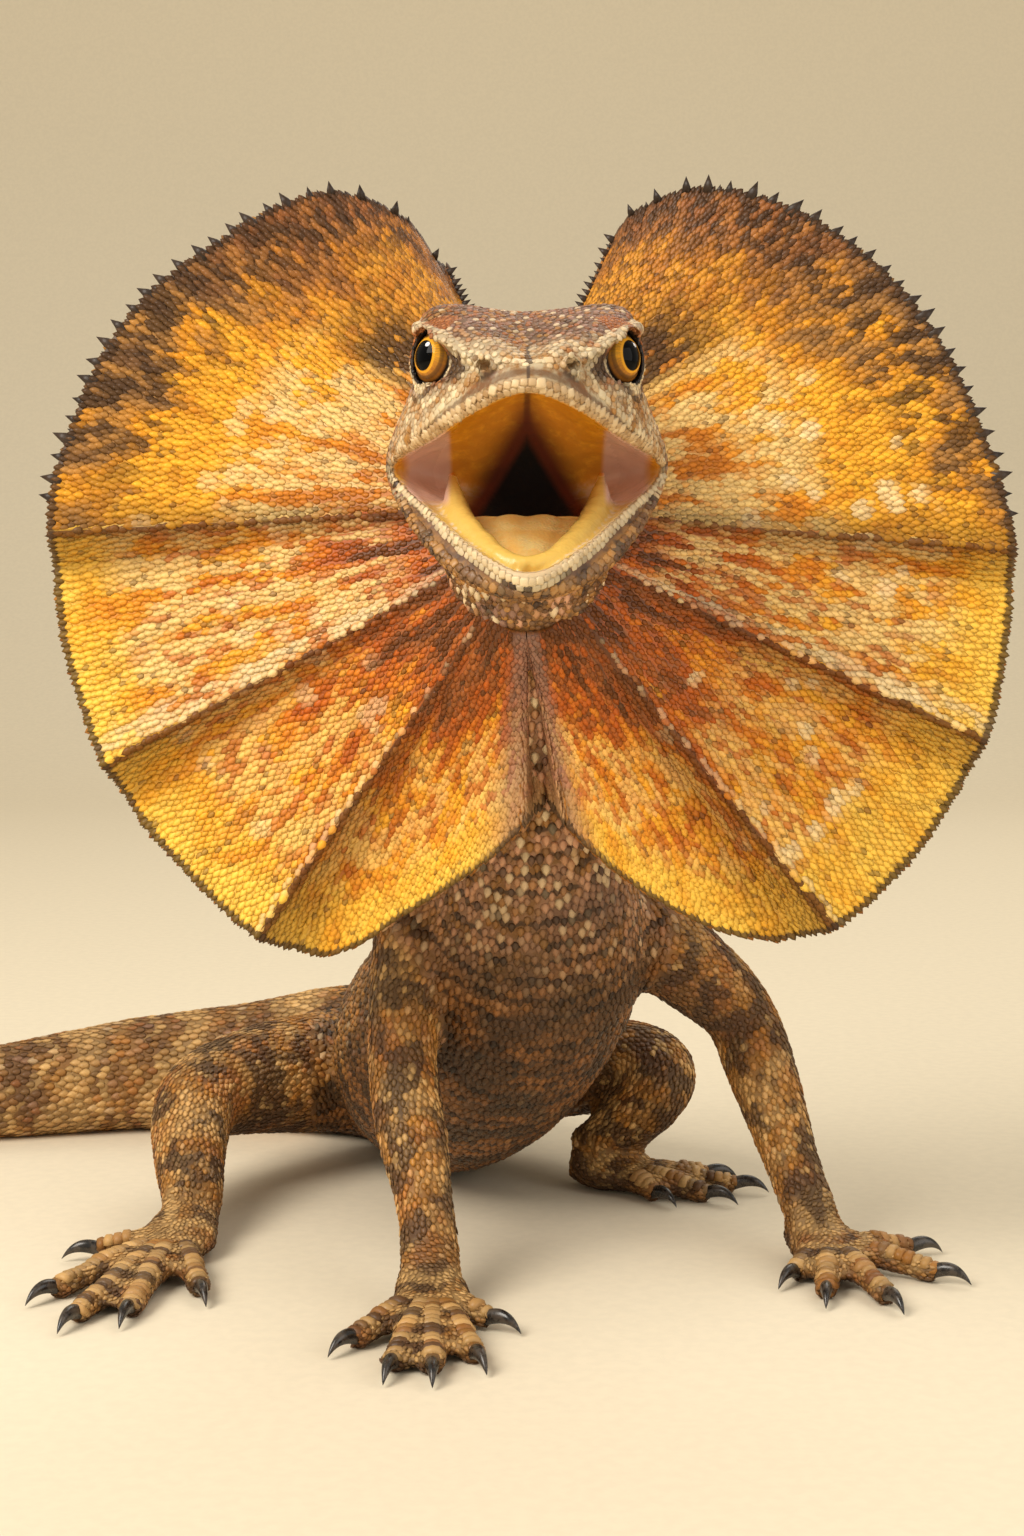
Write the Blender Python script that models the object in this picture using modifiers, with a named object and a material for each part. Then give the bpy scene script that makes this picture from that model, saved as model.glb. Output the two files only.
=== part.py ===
"""Frilled lizard, life size, in its threat display: front raised, mouth agape, frill spread.

Metres, +Z up. The animal faces -Y and its left is +X. The origin is on the floor under the
pelvis, at the middle of the flat that the belly rests on. Lengths named below are millimetres.
"""
import math
import random

import bmesh
import bpy
import numpy as np
from mathutils import Matrix, Vector
from mathutils.bvhtree import BVHTree

for old in list(bpy.data.objects):
    bpy.data.objects.remove(old)

MM = 0.001
GAP = 0.3
VOXEL = 1.6
FLESH_TRIANGLES = 5500
HEAD_VOXEL = 0.9
HEAD_TRIANGLES = 2050

# The middle of the mouth's corners: everything of the head is measured from it, as
# sideways, forward (to -Y) and up.
HEAD_CENTRE = (30.5, -200.0, 216.0)

# Trunk and tail stations: x, y, z of the middle, half width, half height.
TRUNK = [
    (-62, 49, 21.0, 20.0, 21.5),
    (-34, 44, 24.0, 23.0, 25.0),
    (-8, 27, 26.5, 28.0, 27.6),
    (4, -6, 32.0, 33.0, 33.0),
    (11, -44, 47.0, 38.5, 37.0),
    (22, -76, 67.0, 38.0, 37.0),
    (31, -103, 90.0, 34.0, 34.0),
    (34, -126, 117.0, 25.0, 25.0),
    (32.5, -144, 146.0, 19.0, 19.5),
    (31, -160, 176.0, 20.0, 21.0),
    (30.5, -176, 206.0, 22.0, 26.0),
    (30.5, -186, 232.0, 18.0, 20.0),
]
TAIL = [
    (-20, 36, 25.5, 25.0, 25.0),
    (-62, 49, 21.0, 20.5, 21.5),
    (-102, 47, 18.5, 18.5, 19.0),
    (-148, 34, 15.0, 15.5, 15.5),
    (-202, 21, 12.4, 13.0, 12.8),
    (-260, 17, 10.0, 10.6, 10.4),
    (-318, 28, 8.0, 8.5, 8.4),
    (-370, 54, 6.3, 6.8, 6.7),
    (-412, 90, 4.9, 5.3, 5.2),
    (-442, 133, 3.7, 4.1, 4.0),
    (-460, 178, 2.6, 2.9, 2.9),
    (-470, 218, 1.5, 1.8, 1.8),
]

# Limb stations: x, y, z of the middle, half width, half height.
FORELEG = {
    "right": [
        (22, -100, 96, 15, 17),
        (4, -108, 96, 13.5, 15.5),
        (-1, -116, 78, 11, 12),
        (-3, -123, 59, 9.6, 10),
        (0, -133, 42, 9.8, 10),
        (4, -145, 24, 7.8, 8),
        (6, -156, 11, 8.5, 6.5),
    ],
    "left": [
        (44, -96, 92, 16, 17),
        (62, -94, 90, 14, 15),
        (79, -88, 77, 12, 12.5),
        (93, -82, 63, 10.4, 10.6),
        (99, -89, 47, 10.2, 10.4),
        (106, -102, 25, 7.8, 8),
        (111, -112, 11, 8.5, 6.5),
    ],
}
HINDLEG = {
    "right": [
        (-6, 8, 30, 22, 21),
        (-28, -6, 31, 19, 20),
        (-50, -28, 33, 16.5, 17.5),
        (-66, -47, 32, 13.5, 14),
        (-69, -62, 27, 12.2, 13),
        (-67, -80, 18, 10.2, 11),
        (-64, -97, 10.5, 8.6, 8.6),
    ],
    "left": [
        (12, 10, 28, 20, 20),
        (30, 4, 30, 18, 18.5),
        (52, -12, 34, 15.5, 16),
        (71, -25, 35, 13, 13.5),
        (71, -33, 29, 11.2, 11),
        (60, -31, 17, 9.8, 9.2),
        (48.5, -29, 9.0, 8.0, 7.8),
    ],
}

# Feet: the palm's middle, half width, and each toe's claw tip from the palm, inner toe first.
FEET = {
    "forefoot_right": {"palm": (6.5, -165), "width": 10.5, "leg": (5, -152),
                       "tips": [(24, -17), (15, -48), (2, -57), (-10, -55), (-25, -35)]},
    "forefoot_left": {"palm": (114, -119), "width": 10.5, "leg": (109, -108),
                      "tips": [(-17, -26), (-6, -43), (14, -48), (37, -22), (35, 10)]},
    "hindfoot_right": {"palm": (-66, -112), "width": 11.5, "leg": (-64, -96),
                       "tips": [(14, -48), (-6, -66), (-21, -70), (-34, -47), (-33, -4)]},
    "hindfoot_left": {"palm": (58, -36), "width": 10.5, "leg": (48, -29),
                      "tips": [(19, -27), (38, -24), (49, -9), (41, 8), (14, 22)]},
}
CLAW_LENGTH = {"forefoot": 13.0, "hindfoot": 13.5}
CLAW_RADIUS = 2.3
TOE_ROOT = 4.7
TOE_TIP = 3.5

# The head's rings, from the back of the skull over the face to the lips, then along the
# mouth's lining to the throat. Each: top (forward, up), then brow, cheek and side (side,
# forward, up), then bottom (forward, up).
HEAD_RINGS = [
    ((-34, 26.0), (15.0, -32, 24.0), (20.0, -30, 10.0), (22.0, -26, -3.0), (-12, -31.0)),
    ((-24, 31.5), (18.5, -23, 31.0), (24.5, -21, 16.0), (28.0, -17, -2.0), (-5, -32.0)),
    ((-12, 34.3), (20.5, -12, 34.5), (26.0, -11, 18.0), (31.5, -9, -1.0), (4, -32.0)),
    ((0, 35.0), (21.8, 0, 36.0), (26.5, -1, 19.0), (33.2, -3.5, 0.0), (13, -32.0)),
    ((10, 34.0), (23.0, 9, 34.5), (26.8, 6, 17.0), (33.2, -1, 0.0), (21, -32.0)),
    ((20, 30.3), (21.0, 19, 31.0), (26.8, 12, 14.0), (33.0, 0, -0.3), (28, -32.0)),
    ((31, 25.2), (15.3, 31, 25.8), (25.5, 20, 10.5), (32.8, 0.8, -0.6), (34, -32.0)),
    ((41, 21.0), (9.0, 40, 21.2), (23.0, 27, 8.5), (32.6, 1.4, -0.8), (39, -31.3)),
    ((47, 17.5), (10.0, 43, 14.5), (21.8, 28.5, 7.0), (32.4, 1.9, -1.0), (42, -29.5)),
    ((48.5, 14.5), (10.5, 43.5, 12.0), (21.3, 28, 5.8), (32.1, 2.2, -1.2), (43, -27.2)),
    ((47, 12.9), (10.5, 41.5, 9.7), (20.5, 26.5, 4.6), (31.3, 2.0, -1.3), (42, -25.4)),
    ((44.5, 13.2), (9.8, 39, 10.3), (19.0, 24, 5.0), (29.8, 0.5, -1.3), (39.5, -25.6)),
    ((41, 15.0), (9.0, 35.5, 12.5), (17.5, 20, 7.5), (27.5, -3.0, -1.5), (36, -27.0)),
    ((28, 17.0), (8.5, 24, 14.5), (16.0, 12, 8.5), (23.0, -7.0, -2.0), (23, -24.0)),
    ((11, 13.5), (8.0, 8.5, 10.5), (13.0, 2, 5.0), (17.0, -9.0, -3.0), (6, -19.0)),
    ((-3, 6.5), (6.0, -4, 4.5), (9.5, -6, 0.5), (11.5, -9.5, -4.5), (-5, -14.5)),
    ((-9, 1.0), (3.5, -9.5, -1.0), (6.0, -10.5, -3.0), (7.0, -11.0, -5.5), (-10, -10.5)),
]
FIRST_LIP_RING = 8
# Below the side, each ring passes two points: shares of the side's reach, and of the way
# forward and down from side to bottom. The outer rings are full, the lips nearly straight.
CHEEK_LOW = ((0.80, 0.50, 0.48), (0.44, 0.87, 0.86))
LIP_LOW = ((0.68, 0.45, 0.445), (0.335, 0.83, 0.81))
EYE_CENTRE = (18.0, 16.5, 22.4)
EYE_LOOK = (0.80, 0.56, 0.10)
EYE_RADIUS = 7.6
LID_RING, LID_WIDTH, LID_OUT = 6.2, 1.9, 5.2
NOSTRIL = (9.4, 41.4, 19.0)
EAR = (30.0, -14.0, 9.0)
EAR_RADIUS = 5.5

# The frill: its root ring round the neck, then the rim's angle from straight up and radius.
FRILL_CENTRE = (30.5, -150.0, 204.0)
FRILL_ROOT_TOP = (-158.0, 238.0)
FRILL_ROOT_BOTTOM = (-187.0, 176.0)
FRILL_ROOT_SIDE = 17.0
FRILL_RIM = {
    "right": [
        (19, 70), (21, 82), (26, 91), (31.5, 97.5), (41, 101.5), (50, 105), (59, 110.5), (67, 113.7),
        (78, 116), (85, 118.5), (104, 121), (112, 121.3), (128.5, 124), (136, 123.7), (148.8, 124.8),
        (154.5, 122.7), (157.8, 116), (161, 106), (166, 95), (172, 84), (176, 76), (179.8, 71),
    ],
    "left": [
        (16, 70), (19, 84), (26, 94), (33, 99), (42, 103.5), (49.5, 107), (59, 111), (68, 113.5),
        (77.5, 115.7), (86.5, 119.5), (99, 124.5), (109, 126.5), (121.5, 129.5), (130, 130),
        (138, 129.5), (143.7, 128.5), (149, 124.5), (155, 114.5), (161.5, 101), (170, 85.5), (176, 76),
        (179.8, 71),
    ],
}
NOTCH_SHIFT = 5.5
FRILL_RIDGES = {"right": (91.5, 120.0, 147.0), "left": (93.5, 115.5, 142.5)}
PLEAT_DEPTH = 9.0
FRILL_THICK_ROOT, FRILL_THICK_RIM = 2.6, 1.1
FRILL_STEPS = 6
SPINES_UPPER, SPINES_LOWER = 36, 18

parts = bpy.data.collections.new("frilled_lizard")
cutters = bpy.data.collections.new("cutters")
for group in (parts, cutters):
    bpy.context.scene.collection.children.link(group)
cutters.hide_render = True


def material(name, colour, roughness):
    made = bpy.data.materials.new(name)
    made.use_nodes = True
    shader = made.node_tree.nodes["Principled BSDF"]
    shader.inputs["Base Color"].default_value = (*colour, 1)
    shader.inputs["Roughness"].default_value = roughness
    shader.inputs["Metallic"].default_value = 0.0
    return made


SKIN = material("scaly_skin", (0.36, 0.23, 0.12), 0.6)
FRILL_SKIN = material("frill_skin", (0.85, 0.45, 0.10), 0.55)
MOUTH = material("mouth_lining", (0.86, 0.66, 0.30), 0.35)
EYE = material("eye", (0.45, 0.26, 0.06), 0.08)
CLAW = material("claw_horn", (0.05, 0.045, 0.04), 0.25)


def mesh_object(name, verts, faces, group, finish=None):
    """A mesh object from points in millimetres, with its normals made to point out."""
    mesh = bpy.data.meshes.new(name)
    mesh.from_pydata([Vector(v) * MM for v in verts], [], faces)
    work = bmesh.new()
    work.from_mesh(mesh)
    bmesh.ops.recalc_face_normals(work, faces=work.faces)
    work.to_mesh(mesh)
    work.free()
    made = bpy.data.objects.new(name, mesh)
    group.objects.link(made)
    if finish:
        mesh.materials.append(finish)
    return made


def spline(rows, steps, closed=False):
    """Rows of numbers run smoothly through, with the given steps in each span (Catmull-Rom)."""
    rows = np.array(rows, float)
    if closed:
        ends = np.vstack([rows[-1:], rows, rows[:2]])
    else:
        ends = np.vstack([2 * rows[0] - rows[1], rows, 2 * rows[-1] - rows[-2]])
    made = []
    for a, b, c, d in zip(ends, ends[1:], ends[2:], ends[3:]):
        for t in np.arange(steps) / steps:
            made.append(0.5 * (2 * b + (c - a) * t + (2 * a - 5 * b + 4 * c - d) * t**2
                               + (3 * b - 3 * c + d - a) * t**3))
    if not closed:
        made.append(rows[-1])
    return np.array(made)


def loft(name, stations, steps, sides, group, cap_round=True):
    """A closed tube of elliptical sections along stations of x, y, z, half width, half height."""
    rows = spline(stations, steps)
    path, half = rows[:, :3], np.maximum(rows[:, 3:5], 0.5)
    along = np.gradient(path, axis=0)
    along /= np.linalg.norm(along, axis=1)[:, None]
    verts = []
    for point, direction, (wide, high) in zip(path, along, half):
        level = np.array([direction[1], -direction[0], 0.0])
        if np.linalg.norm(level) < 0.2:
            level = np.array([1.0, 0.0, 0.0])
        level /= np.linalg.norm(level)
        rise = np.cross(level, direction)
        for k in range(sides):
            a = 2 * math.pi * k / sides
            verts.append(point + level * wide * math.cos(a) + rise * high * math.sin(a))
    return mesh_object(name, *tube_faces(verts, len(path), sides), group)


def tube_faces(verts, rings, sides):
    """The side faces and the two end caps of a tube whose rings follow one another."""
    faces = []
    for i in range(rings - 1):
        for k in range(sides):
            n = (k + 1) % sides
            faces.append((i * sides + k, i * sides + n, (i + 1) * sides + n, (i + 1) * sides + k))
    for ring in (0, rings - 1):
        base = ring * sides
        middle = len(verts)
        verts = [*verts, sum(np.array(v) for v in verts[base:base + sides]) / sides]
        for k in range(sides):
            faces.append((middle, base + k, base + (k + 1) % sides))
    return verts, faces


def use(obj, kind, **settings):
    """Adds a modifier of this kind with these settings."""
    modifier = obj.modifiers.new(kind.lower(), kind)
    for key, value in settings.items():
        setattr(modifier, key, value)
    return modifier


def settle(obj):
    """Makes the object's mesh what its modifiers give, and removes them."""
    graph = bpy.context.evaluated_depsgraph_get()
    made = bpy.data.meshes.new_from_object(obj.evaluated_get(graph))
    obj.modifiers.clear()
    obj.data = made
    return obj


def joined(name, pieces, group):
    """One object that holds the pieces' meshes; the pieces are removed."""
    work = bmesh.new()
    for piece in pieces:
        work.from_mesh(piece.data)
    mesh = bpy.data.meshes.new(name)
    work.to_mesh(mesh)
    work.free()
    for piece in pieces:
        bpy.data.objects.remove(piece)
    made = bpy.data.objects.new(name, mesh)
    group.objects.link(made)
    return made


def boolean(obj, others, operation, solver="EXACT"):
    """Cuts or joins obj with a list of closed objects, which are then removed."""
    tools = bpy.data.collections.new("tools")
    bpy.context.scene.collection.children.link(tools)
    for other in others:
        for home in list(other.users_collection):
            home.objects.unlink(other)
        tools.objects.link(other)
    bpy.context.view_layer.update()
    use(obj, "BOOLEAN", operation=operation, solver=solver, operand_type="COLLECTION",
        collection=tools)
    settle(obj)
    for other in list(tools.objects):
        bpy.data.objects.remove(other)
    bpy.data.collections.remove(tools)
    return obj


def islands(obj):
    """The mesh's separate closed surfaces, each as a new object, largest first."""
    work = bmesh.new()
    work.from_mesh(obj.data)
    work.faces.ensure_lookup_table()
    seen, groups = set(), []
    for start in work.faces:
        if start.index in seen:
            continue
        stack, found = [start], []
        seen.add(start.index)
        while stack:
            face = stack.pop()
            found.append(face)
            for edge in face.edges:
                for other in edge.link_faces:
                    if other.index not in seen:
                        seen.add(other.index)
                        stack.append(other)
        groups.append(found)
    made = []
    for found in sorted(groups, key=len, reverse=True):
        number, points, rows = {}, [], []
        for face in found:
            for vert in face.verts:
                if vert.index not in number:
                    number[vert.index] = len(points)
                    points.append(vert.co.copy())
            rows.append([number[vert.index] for vert in face.verts])
        mesh = bpy.data.meshes.new("island")
        mesh.from_pydata(points, [], rows)
        piece = bpy.data.objects.new("island", mesh)
        parts.objects.link(piece)
        made.append(piece)
    work.free()
    bpy.data.objects.remove(obj)
    return made


def keep_largest(obj, name, finish):
    """The object's largest closed surface, named and finished."""
    first, *rest = islands(obj)
    for scrap in rest:
        bpy.data.objects.remove(scrap)
    first.name = first.data.name = name
    first.data.materials.append(finish)
    return first


def box(name, centre, size, turn=None):
    """A box cutter, its centre and size in millimetres."""
    work = bmesh.new()
    bmesh.ops.create_cube(work, size=1.0)
    place = Matrix.Translation(Vector(centre) * MM) @ (turn.to_matrix().to_4x4() if turn else Matrix())
    bmesh.ops.transform(work, verts=work.verts, matrix=place @ Matrix.Diagonal((*(Vector(size) * MM), 1)))
    return from_bmesh(name, work, cutters)


def disc(name, centre, axis, radius, thick):
    """A thin round cutter square to an axis."""
    work = bmesh.new()
    bmesh.ops.create_cone(work, cap_ends=True, segments=20, radius1=radius * MM,
                          radius2=radius * MM, depth=thick * MM)
    turn = Vector(axis).to_track_quat("Z", "Y").to_matrix().to_4x4()
    bmesh.ops.transform(work, verts=work.verts, matrix=Matrix.Translation(Vector(centre) * MM) @ turn)
    return from_bmesh(name, work, cutters)


def ball(name, centre, radius, group, segments=16, rings=12, flat=(1, 1, 1), turn=None):
    """A sphere, or an ellipsoid where flat scales its axes."""
    work = bmesh.new()
    bmesh.ops.create_uvsphere(work, u_segments=segments, v_segments=rings, radius=radius * MM)
    place = Matrix.Translation(Vector(centre) * MM) @ (turn.to_matrix().to_4x4() if turn else Matrix())
    bmesh.ops.transform(work, verts=work.verts, matrix=place @ Matrix.Diagonal((*flat, 1)))
    return from_bmesh(name, work, group)


def from_bmesh(name, work, group):
    mesh = bpy.data.meshes.new(name)
    work.to_mesh(mesh)
    work.free()
    made = bpy.data.objects.new(name, mesh)
    group.objects.link(made)
    return made


def head_point(side, forward, up):
    """A place on the head, in the part's own millimetres."""
    return (HEAD_CENTRE[0] + side, HEAD_CENTRE[1] - forward, HEAD_CENTRE[2] + up)


def head_ring(number, steps):
    """One ring's points round the head, from the top through the left side and back."""
    top, brow, cheek, side, bottom = HEAD_RINGS[number]
    low = []
    for share, ahead, down in LIP_LOW if number >= FIRST_LIP_RING else CHEEK_LOW:
        low.append((side[0] * share, side[1] + (bottom[0] - side[1]) * ahead,
                    side[2] + (bottom[1] - side[2]) * down))
    left = [(0, *top), brow, cheek, side, *low, (0, *bottom)]
    loop = left + [(-x, f, u) for x, f, u in left[-2:0:-1]]
    return spline(loop, steps, closed=True)


def head_whole():
    """Skull, jaws and mouth lining as one closed surface, open at the mouth."""
    rings = [head_ring(number, 4) for number in range(len(HEAD_RINGS))]
    sides = len(rings[0])
    verts = [head_point(*point) for ring in rings for point in ring]
    return mesh_object("head", *tube_faces(verts, len(rings), sides), parts)


def look_turn(side):
    """The turn that points an eye's own Z outwards."""
    return Vector((side * EYE_LOOK[0], -EYE_LOOK[1], EYE_LOOK[2])).to_track_quat("Z", "Y")


def lid_ring(side):
    """The raised ring of an eye's lids."""
    look = look_turn(side)
    middle = Vector(head_point(side * EYE_CENTRE[0], *EYE_CENTRE[1:])) + look @ Vector((0, 0, LID_OUT))
    verts = []
    around, across = 16, 6
    for i in range(around):
        a = 2 * math.pi * i / around
        for k in range(across):
            b = 2 * math.pi * k / across
            reach = LID_RING + LID_WIDTH * math.cos(b)
            verts.append(middle + look @ Vector((reach * math.cos(a) * 0.92, reach * math.sin(a) * 1.05,
                                                 LID_WIDTH * math.sin(b))))
    faces = []
    for i in range(around):
        for k in range(across):
            n, m = (i + 1) % around, (k + 1) % across
            faces.append((i * across + k, n * across + k, n * across + m, i * across + m))
    return mesh_object("lid", verts, faces, parts)


def nape_side(name, side):
    """A cutter that takes all on one side of the plane between head and neck."""
    way = Vector((0, -0.91, 0.42))
    middle = Vector(head_point(0, -17.5, -3.0)) + way * (side * 40 - GAP / 2 * side)
    return box(name, middle, (120, 120, 80), way.to_track_quat("Z", "Y"))


def mouth_cut():
    """The thin slab through the mouth's corners that parts the jaw from the skull."""
    turn = Matrix.Rotation(math.radians(9), 3, "X").to_quaternion()
    return box("mouth_cut", head_point(0, 2.2, -1.3), (90, 110, GAP), turn)


def make_head():
    """The skull with its sockets, lids, nostrils and ears, and the lower jaw."""
    whole = head_whole()
    whole = joined("head", [whole, lid_ring(1), lid_ring(-1)], parts)
    use(whole, "REMESH", mode="VOXEL", voxel_size=HEAD_VOXEL * MM, adaptivity=0.0)
    use(whole, "SMOOTH", iterations=2, factor=0.5)
    settle(whole)
    count = sum(len(face.vertices) - 2 for face in whole.data.polygons)
    use(whole, "DECIMATE", ratio=HEAD_TRIANGLES / count, use_collapse_triangulate=True)
    settle(whole)
    holes = []
    for side in (1, -1):
        eye = head_point(side * EYE_CENTRE[0], *EYE_CENTRE[1:])
        holes.append(ball("socket", eye, EYE_RADIUS + GAP, parts))
        holes.append(ball("nostril", head_point(side * NOSTRIL[0], *NOSTRIL[1:]), 1.6, parts, 8, 6))
        holes.append(ball("ear", head_point(side * EAR[0], *EAR[1:]), EAR_RADIUS, parts, 12, 8,
                          (0.45, 1, 1.2)))
    boolean(whole, holes, "DIFFERENCE")
    boolean(whole, [mouth_cut(), nape_side("neck_side", -1)], "DIFFERENCE")
    found = islands(whole)
    found.sort(key=lambda piece: -sum(v.co.z for v in piece.data.vertices) / len(piece.data.vertices))
    sizes = sorted(found, key=lambda piece: len(piece.data.vertices))[-2:]
    skull, jaw = [piece for piece in found if piece in sizes]
    for scrap in set(found) - {skull, jaw}:
        bpy.data.objects.remove(scrap)
    for piece, name in ((skull, "head"), (jaw, "jaw")):
        piece.name = piece.data.name = name
        piece.data.materials.append(SKIN)


def make_eyes():
    for side, name in ((1, "eye_left"), (-1, "eye_right")):
        eye = ball(name, head_point(side * EYE_CENTRE[0], *EYE_CENTRE[1:]), EYE_RADIUS, parts, 12, 8,
                   turn=look_turn(side))
        eye.data.materials.append(EYE)


def make_tongue():
    """The broad, blunt tongue on the floor of the mouth."""
    stations = [(30.5, -196, 203.5, 6.5, 1.6), (30.5, -203, 203.4, 9.2, 2.6), (30.5, -213, 199.0, 9.6, 3.0),
                (30.5, -223, 194.2, 8.6, 2.8), (30.5, -230, 191.6, 5.6, 1.8)]
    tongue = loft("tongue", stations, 2, 12, parts)
    rest_on(tongue, "jaw")
    tongue.data.materials.append(MOUTH)


def rest_on(piece, node):
    """Drops the piece straight down until it lies the usual gap above the node."""
    base = bpy.data.objects[node]
    tree = BVHTree.FromPolygons([v.co for v in base.data.vertices],
                                [p.vertices for p in base.data.polygons])
    gaps = []
    for vert in piece.data.vertices:
        hit = tree.ray_cast(vert.co + Vector((0, 0, 0.02)), Vector((0, 0, -1)))
        if hit[0]:
            gaps.append(vert.co.z - hit[0].z)
    for vert in piece.data.vertices:
        vert.co.z -= min(gaps) - GAP * MM


def toe_line(foot, tip):
    """A toe's path from inside the palm to where its claw starts, and the claw's own way."""
    palm = Vector((*foot["palm"], 0))
    reach = Vector((*tip, 0))
    way = reach.normalized()
    length = reach.length
    claw = 11.0
    root = palm + way * 2.0 + Vector((0, 0, 5.4))
    knuckle = palm + way * (length - claw) * 0.52 + Vector((0, 0, 5.0))
    end = palm + way * (length - claw) + Vector((0, 0, 3.1))
    return root, knuckle, end, way


def toe(foot, tip):
    """One toe: knuckles swell along it, and it droops to the claw."""
    root, knuckle, end, way = toe_line(foot, tip)
    past = end + way * 3.0 - Vector((0, 0, 0.9))
    rows = []
    for share, size in ((0.0, TOE_ROOT), (0.3, 4.0), (0.5, 4.4), (0.72, 3.7), (0.88, 3.9), (1.0, TOE_TIP)):
        near = root.lerp(knuckle, share * 2) if share < 0.5 else knuckle.lerp(past, share * 2 - 1)
        rows.append((*near, size, size * 0.95))
    return loft("toe", rows, 2, 10, parts)


def palm(foot):
    """The palm, from the wrist or heel out to the toes' roots."""
    x, y = foot["palm"]
    leg = foot["leg"]
    wide = foot["width"]
    ahead = Vector((x - leg[0], y - leg[1], 0)).normalized()
    rows = [(leg[0], leg[1], 8.5, 7.8, 7.0), (x - ahead.x * 6, y - ahead.y * 6, 6.2, wide * 0.9, 6.9),
            (x, y, 5.2, wide, 6.0), (x + ahead.x * 7, y + ahead.y * 7, 4.6, wide * 0.8, 4.9)]
    return loft("palm", rows, 3, 14, parts)


def claw_place(foot, tip):
    """Where a claw's root plane lies and its way: along the toe and a little down."""
    _, _, end, way = toe_line(foot, tip)
    return end, (way - Vector((0, 0, 0.22))).normalized(), way


def claw(name, foot, tip, length):
    """A curved, tapering claw whose flat root faces the toe's cut end."""
    end, axis, way = claw_place(foot, tip)
    start = end + axis * (GAP + 0.05)
    rows = []
    for share in (0.0, 0.25, 0.5, 0.75, 0.93):
        drop = 3.6 * share**2.2
        point = start + way * length * 0.86 * share - Vector((0, 0, share * length * 0.08 + drop * 0.55))
        size = CLAW_RADIUS * (1 - share**1.4) + 0.32
        rows.append((*point, size * 0.8, size * 1.1))
    lowest = min(row[2] - row[4] for row in rows)
    lift = max(0.0, 0.35 - lowest)
    rows = [(row[0], row[1], row[2] + lift * (i / 4.0) ** 1.2, row[3], row[4]) for i, row in enumerate(rows)]
    verts = []
    side = Vector((way.y, -way.x, 0))
    for i, row in enumerate(rows):
        along = axis if i == 0 else (Vector(rows[min(i + 1, 4)][:3]) - Vector(rows[i - 1][:3])).normalized()
        rise = side.cross(along)
        for k in range(6):
            a = 2 * math.pi * k / 6
            verts.append(Vector(row[:3]) + side * row[3] * math.cos(a) + rise * row[4] * math.sin(a))
    return mesh_object(name, *tube_faces(verts, len(rows), 6), parts, CLAW)


def make_flesh():
    """Trunk, tail, legs and feet as one smooth body, cut flat where it rests."""
    pieces = [loft("trunk", TRUNK, 5, 28, parts), loft("tail", TAIL, 5, 22, parts)]
    for side in ("right", "left"):
        pieces.append(loft("foreleg", FORELEG[side], 4, 16, parts))
        pieces.append(loft("hindleg", HINDLEG[side], 4, 18, parts))
    for foot in FEET.values():
        pieces.append(palm(foot))
        pieces += [toe(foot, tip) for tip in foot["tips"]]
    flesh = joined("flesh", pieces, parts)
    use(flesh, "REMESH", mode="VOXEL", voxel_size=VOXEL * MM, adaptivity=0.0)
    use(flesh, "SMOOTH", iterations=6, factor=0.5)
    settle(flesh)
    count = sum(len(face.vertices) - 2 for face in flesh.data.polygons)
    use(flesh, "DECIMATE", ratio=FLESH_TRIANGLES / count, use_collapse_triangulate=True)
    return settle(flesh)


def joint_cuts():
    """Thin cutters that part the body where a person would name its parts."""
    cuts = [
        disc("neck_cut", (33.8, -134, 127), (-0.06, -0.60, 0.80), 46, GAP),
        disc("waist_cut", (9, -34, 43), (0.22, -0.84, 0.42), 62, GAP),
        disc("tail_cut_1", (-33, 43, 24), (-1, 0.33, 0), 38, GAP),
        disc("tail_cut_2", (-190, 23.4, 13), (-1, -0.22, 0), 26, GAP),
        disc("tail_cut_3", (-330, 32.5, 8), (-1, 0.42, 0), 20, GAP),
        disc("shoulder_right", (-1.2, -117, 76), (-0.7, -0.62, -0.35), 22, GAP),
        disc("shoulder_left", (71, -91, 83.5), (0.93, 0, -0.37), 20, GAP),
        disc("hip_right", (-35, -13, 31), (-1, 0, 0), 28, GAP),
        disc("hip_left", (42, -4.5, 32), (0.93, 0.36, 0), 35, GAP),
        disc("ankle_left", (56, -31, 12), (-0.34, 0.1, 0.93), 26, GAP),
    ]
    for name, foot in FEET.items():
        if name == "hindfoot_left":
            continue
        x, y = foot["leg"]
        ahead = Vector((foot["palm"][0] - x, foot["palm"][1] - y, 0)).normalized()
        cuts.append(disc(name + "_cut", (x, y, 10.5), (ahead.x, ahead.y, -0.55), 14, GAP))
    return cuts


def make_body():
    """The flesh, flat where it rests, parted into named nodes."""
    flesh = make_flesh()
    below = [box("floor", (-150, 0, -30), (900, 900, 60))]
    below.append(nape_side("head_side", 1))
    for foot in FEET.values():
        for tip in foot["tips"]:
            end, axis, _ = claw_place(foot, tip)
            below.append(disc("toe_end", end + axis * 5, axis, 5.6, 10))
    boolean(flesh, below, "DIFFERENCE")
    boolean(flesh, joint_cuts(), "DIFFERENCE")
    return islands(flesh)


NODE_CENTRES = {
    "neck": (32, -150, 160), "chest": (28, -85, 75), "belly": (0, 5, 30),
    "tail_base": (-110, 40, 18), "tail_middle": (-260, 17, 10), "tail_tip": (-430, 110, 4),
    "foreleg_right": (0, -130, 52), "foreleg_left": (95, -88, 52),
    "hindleg_right": (-60, -55, 26), "hindleg_left": (58, -22, 26),
    **{name: (foot["palm"][0], foot["palm"][1] - 4, 6) for name, foot in FEET.items()},
}


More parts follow.
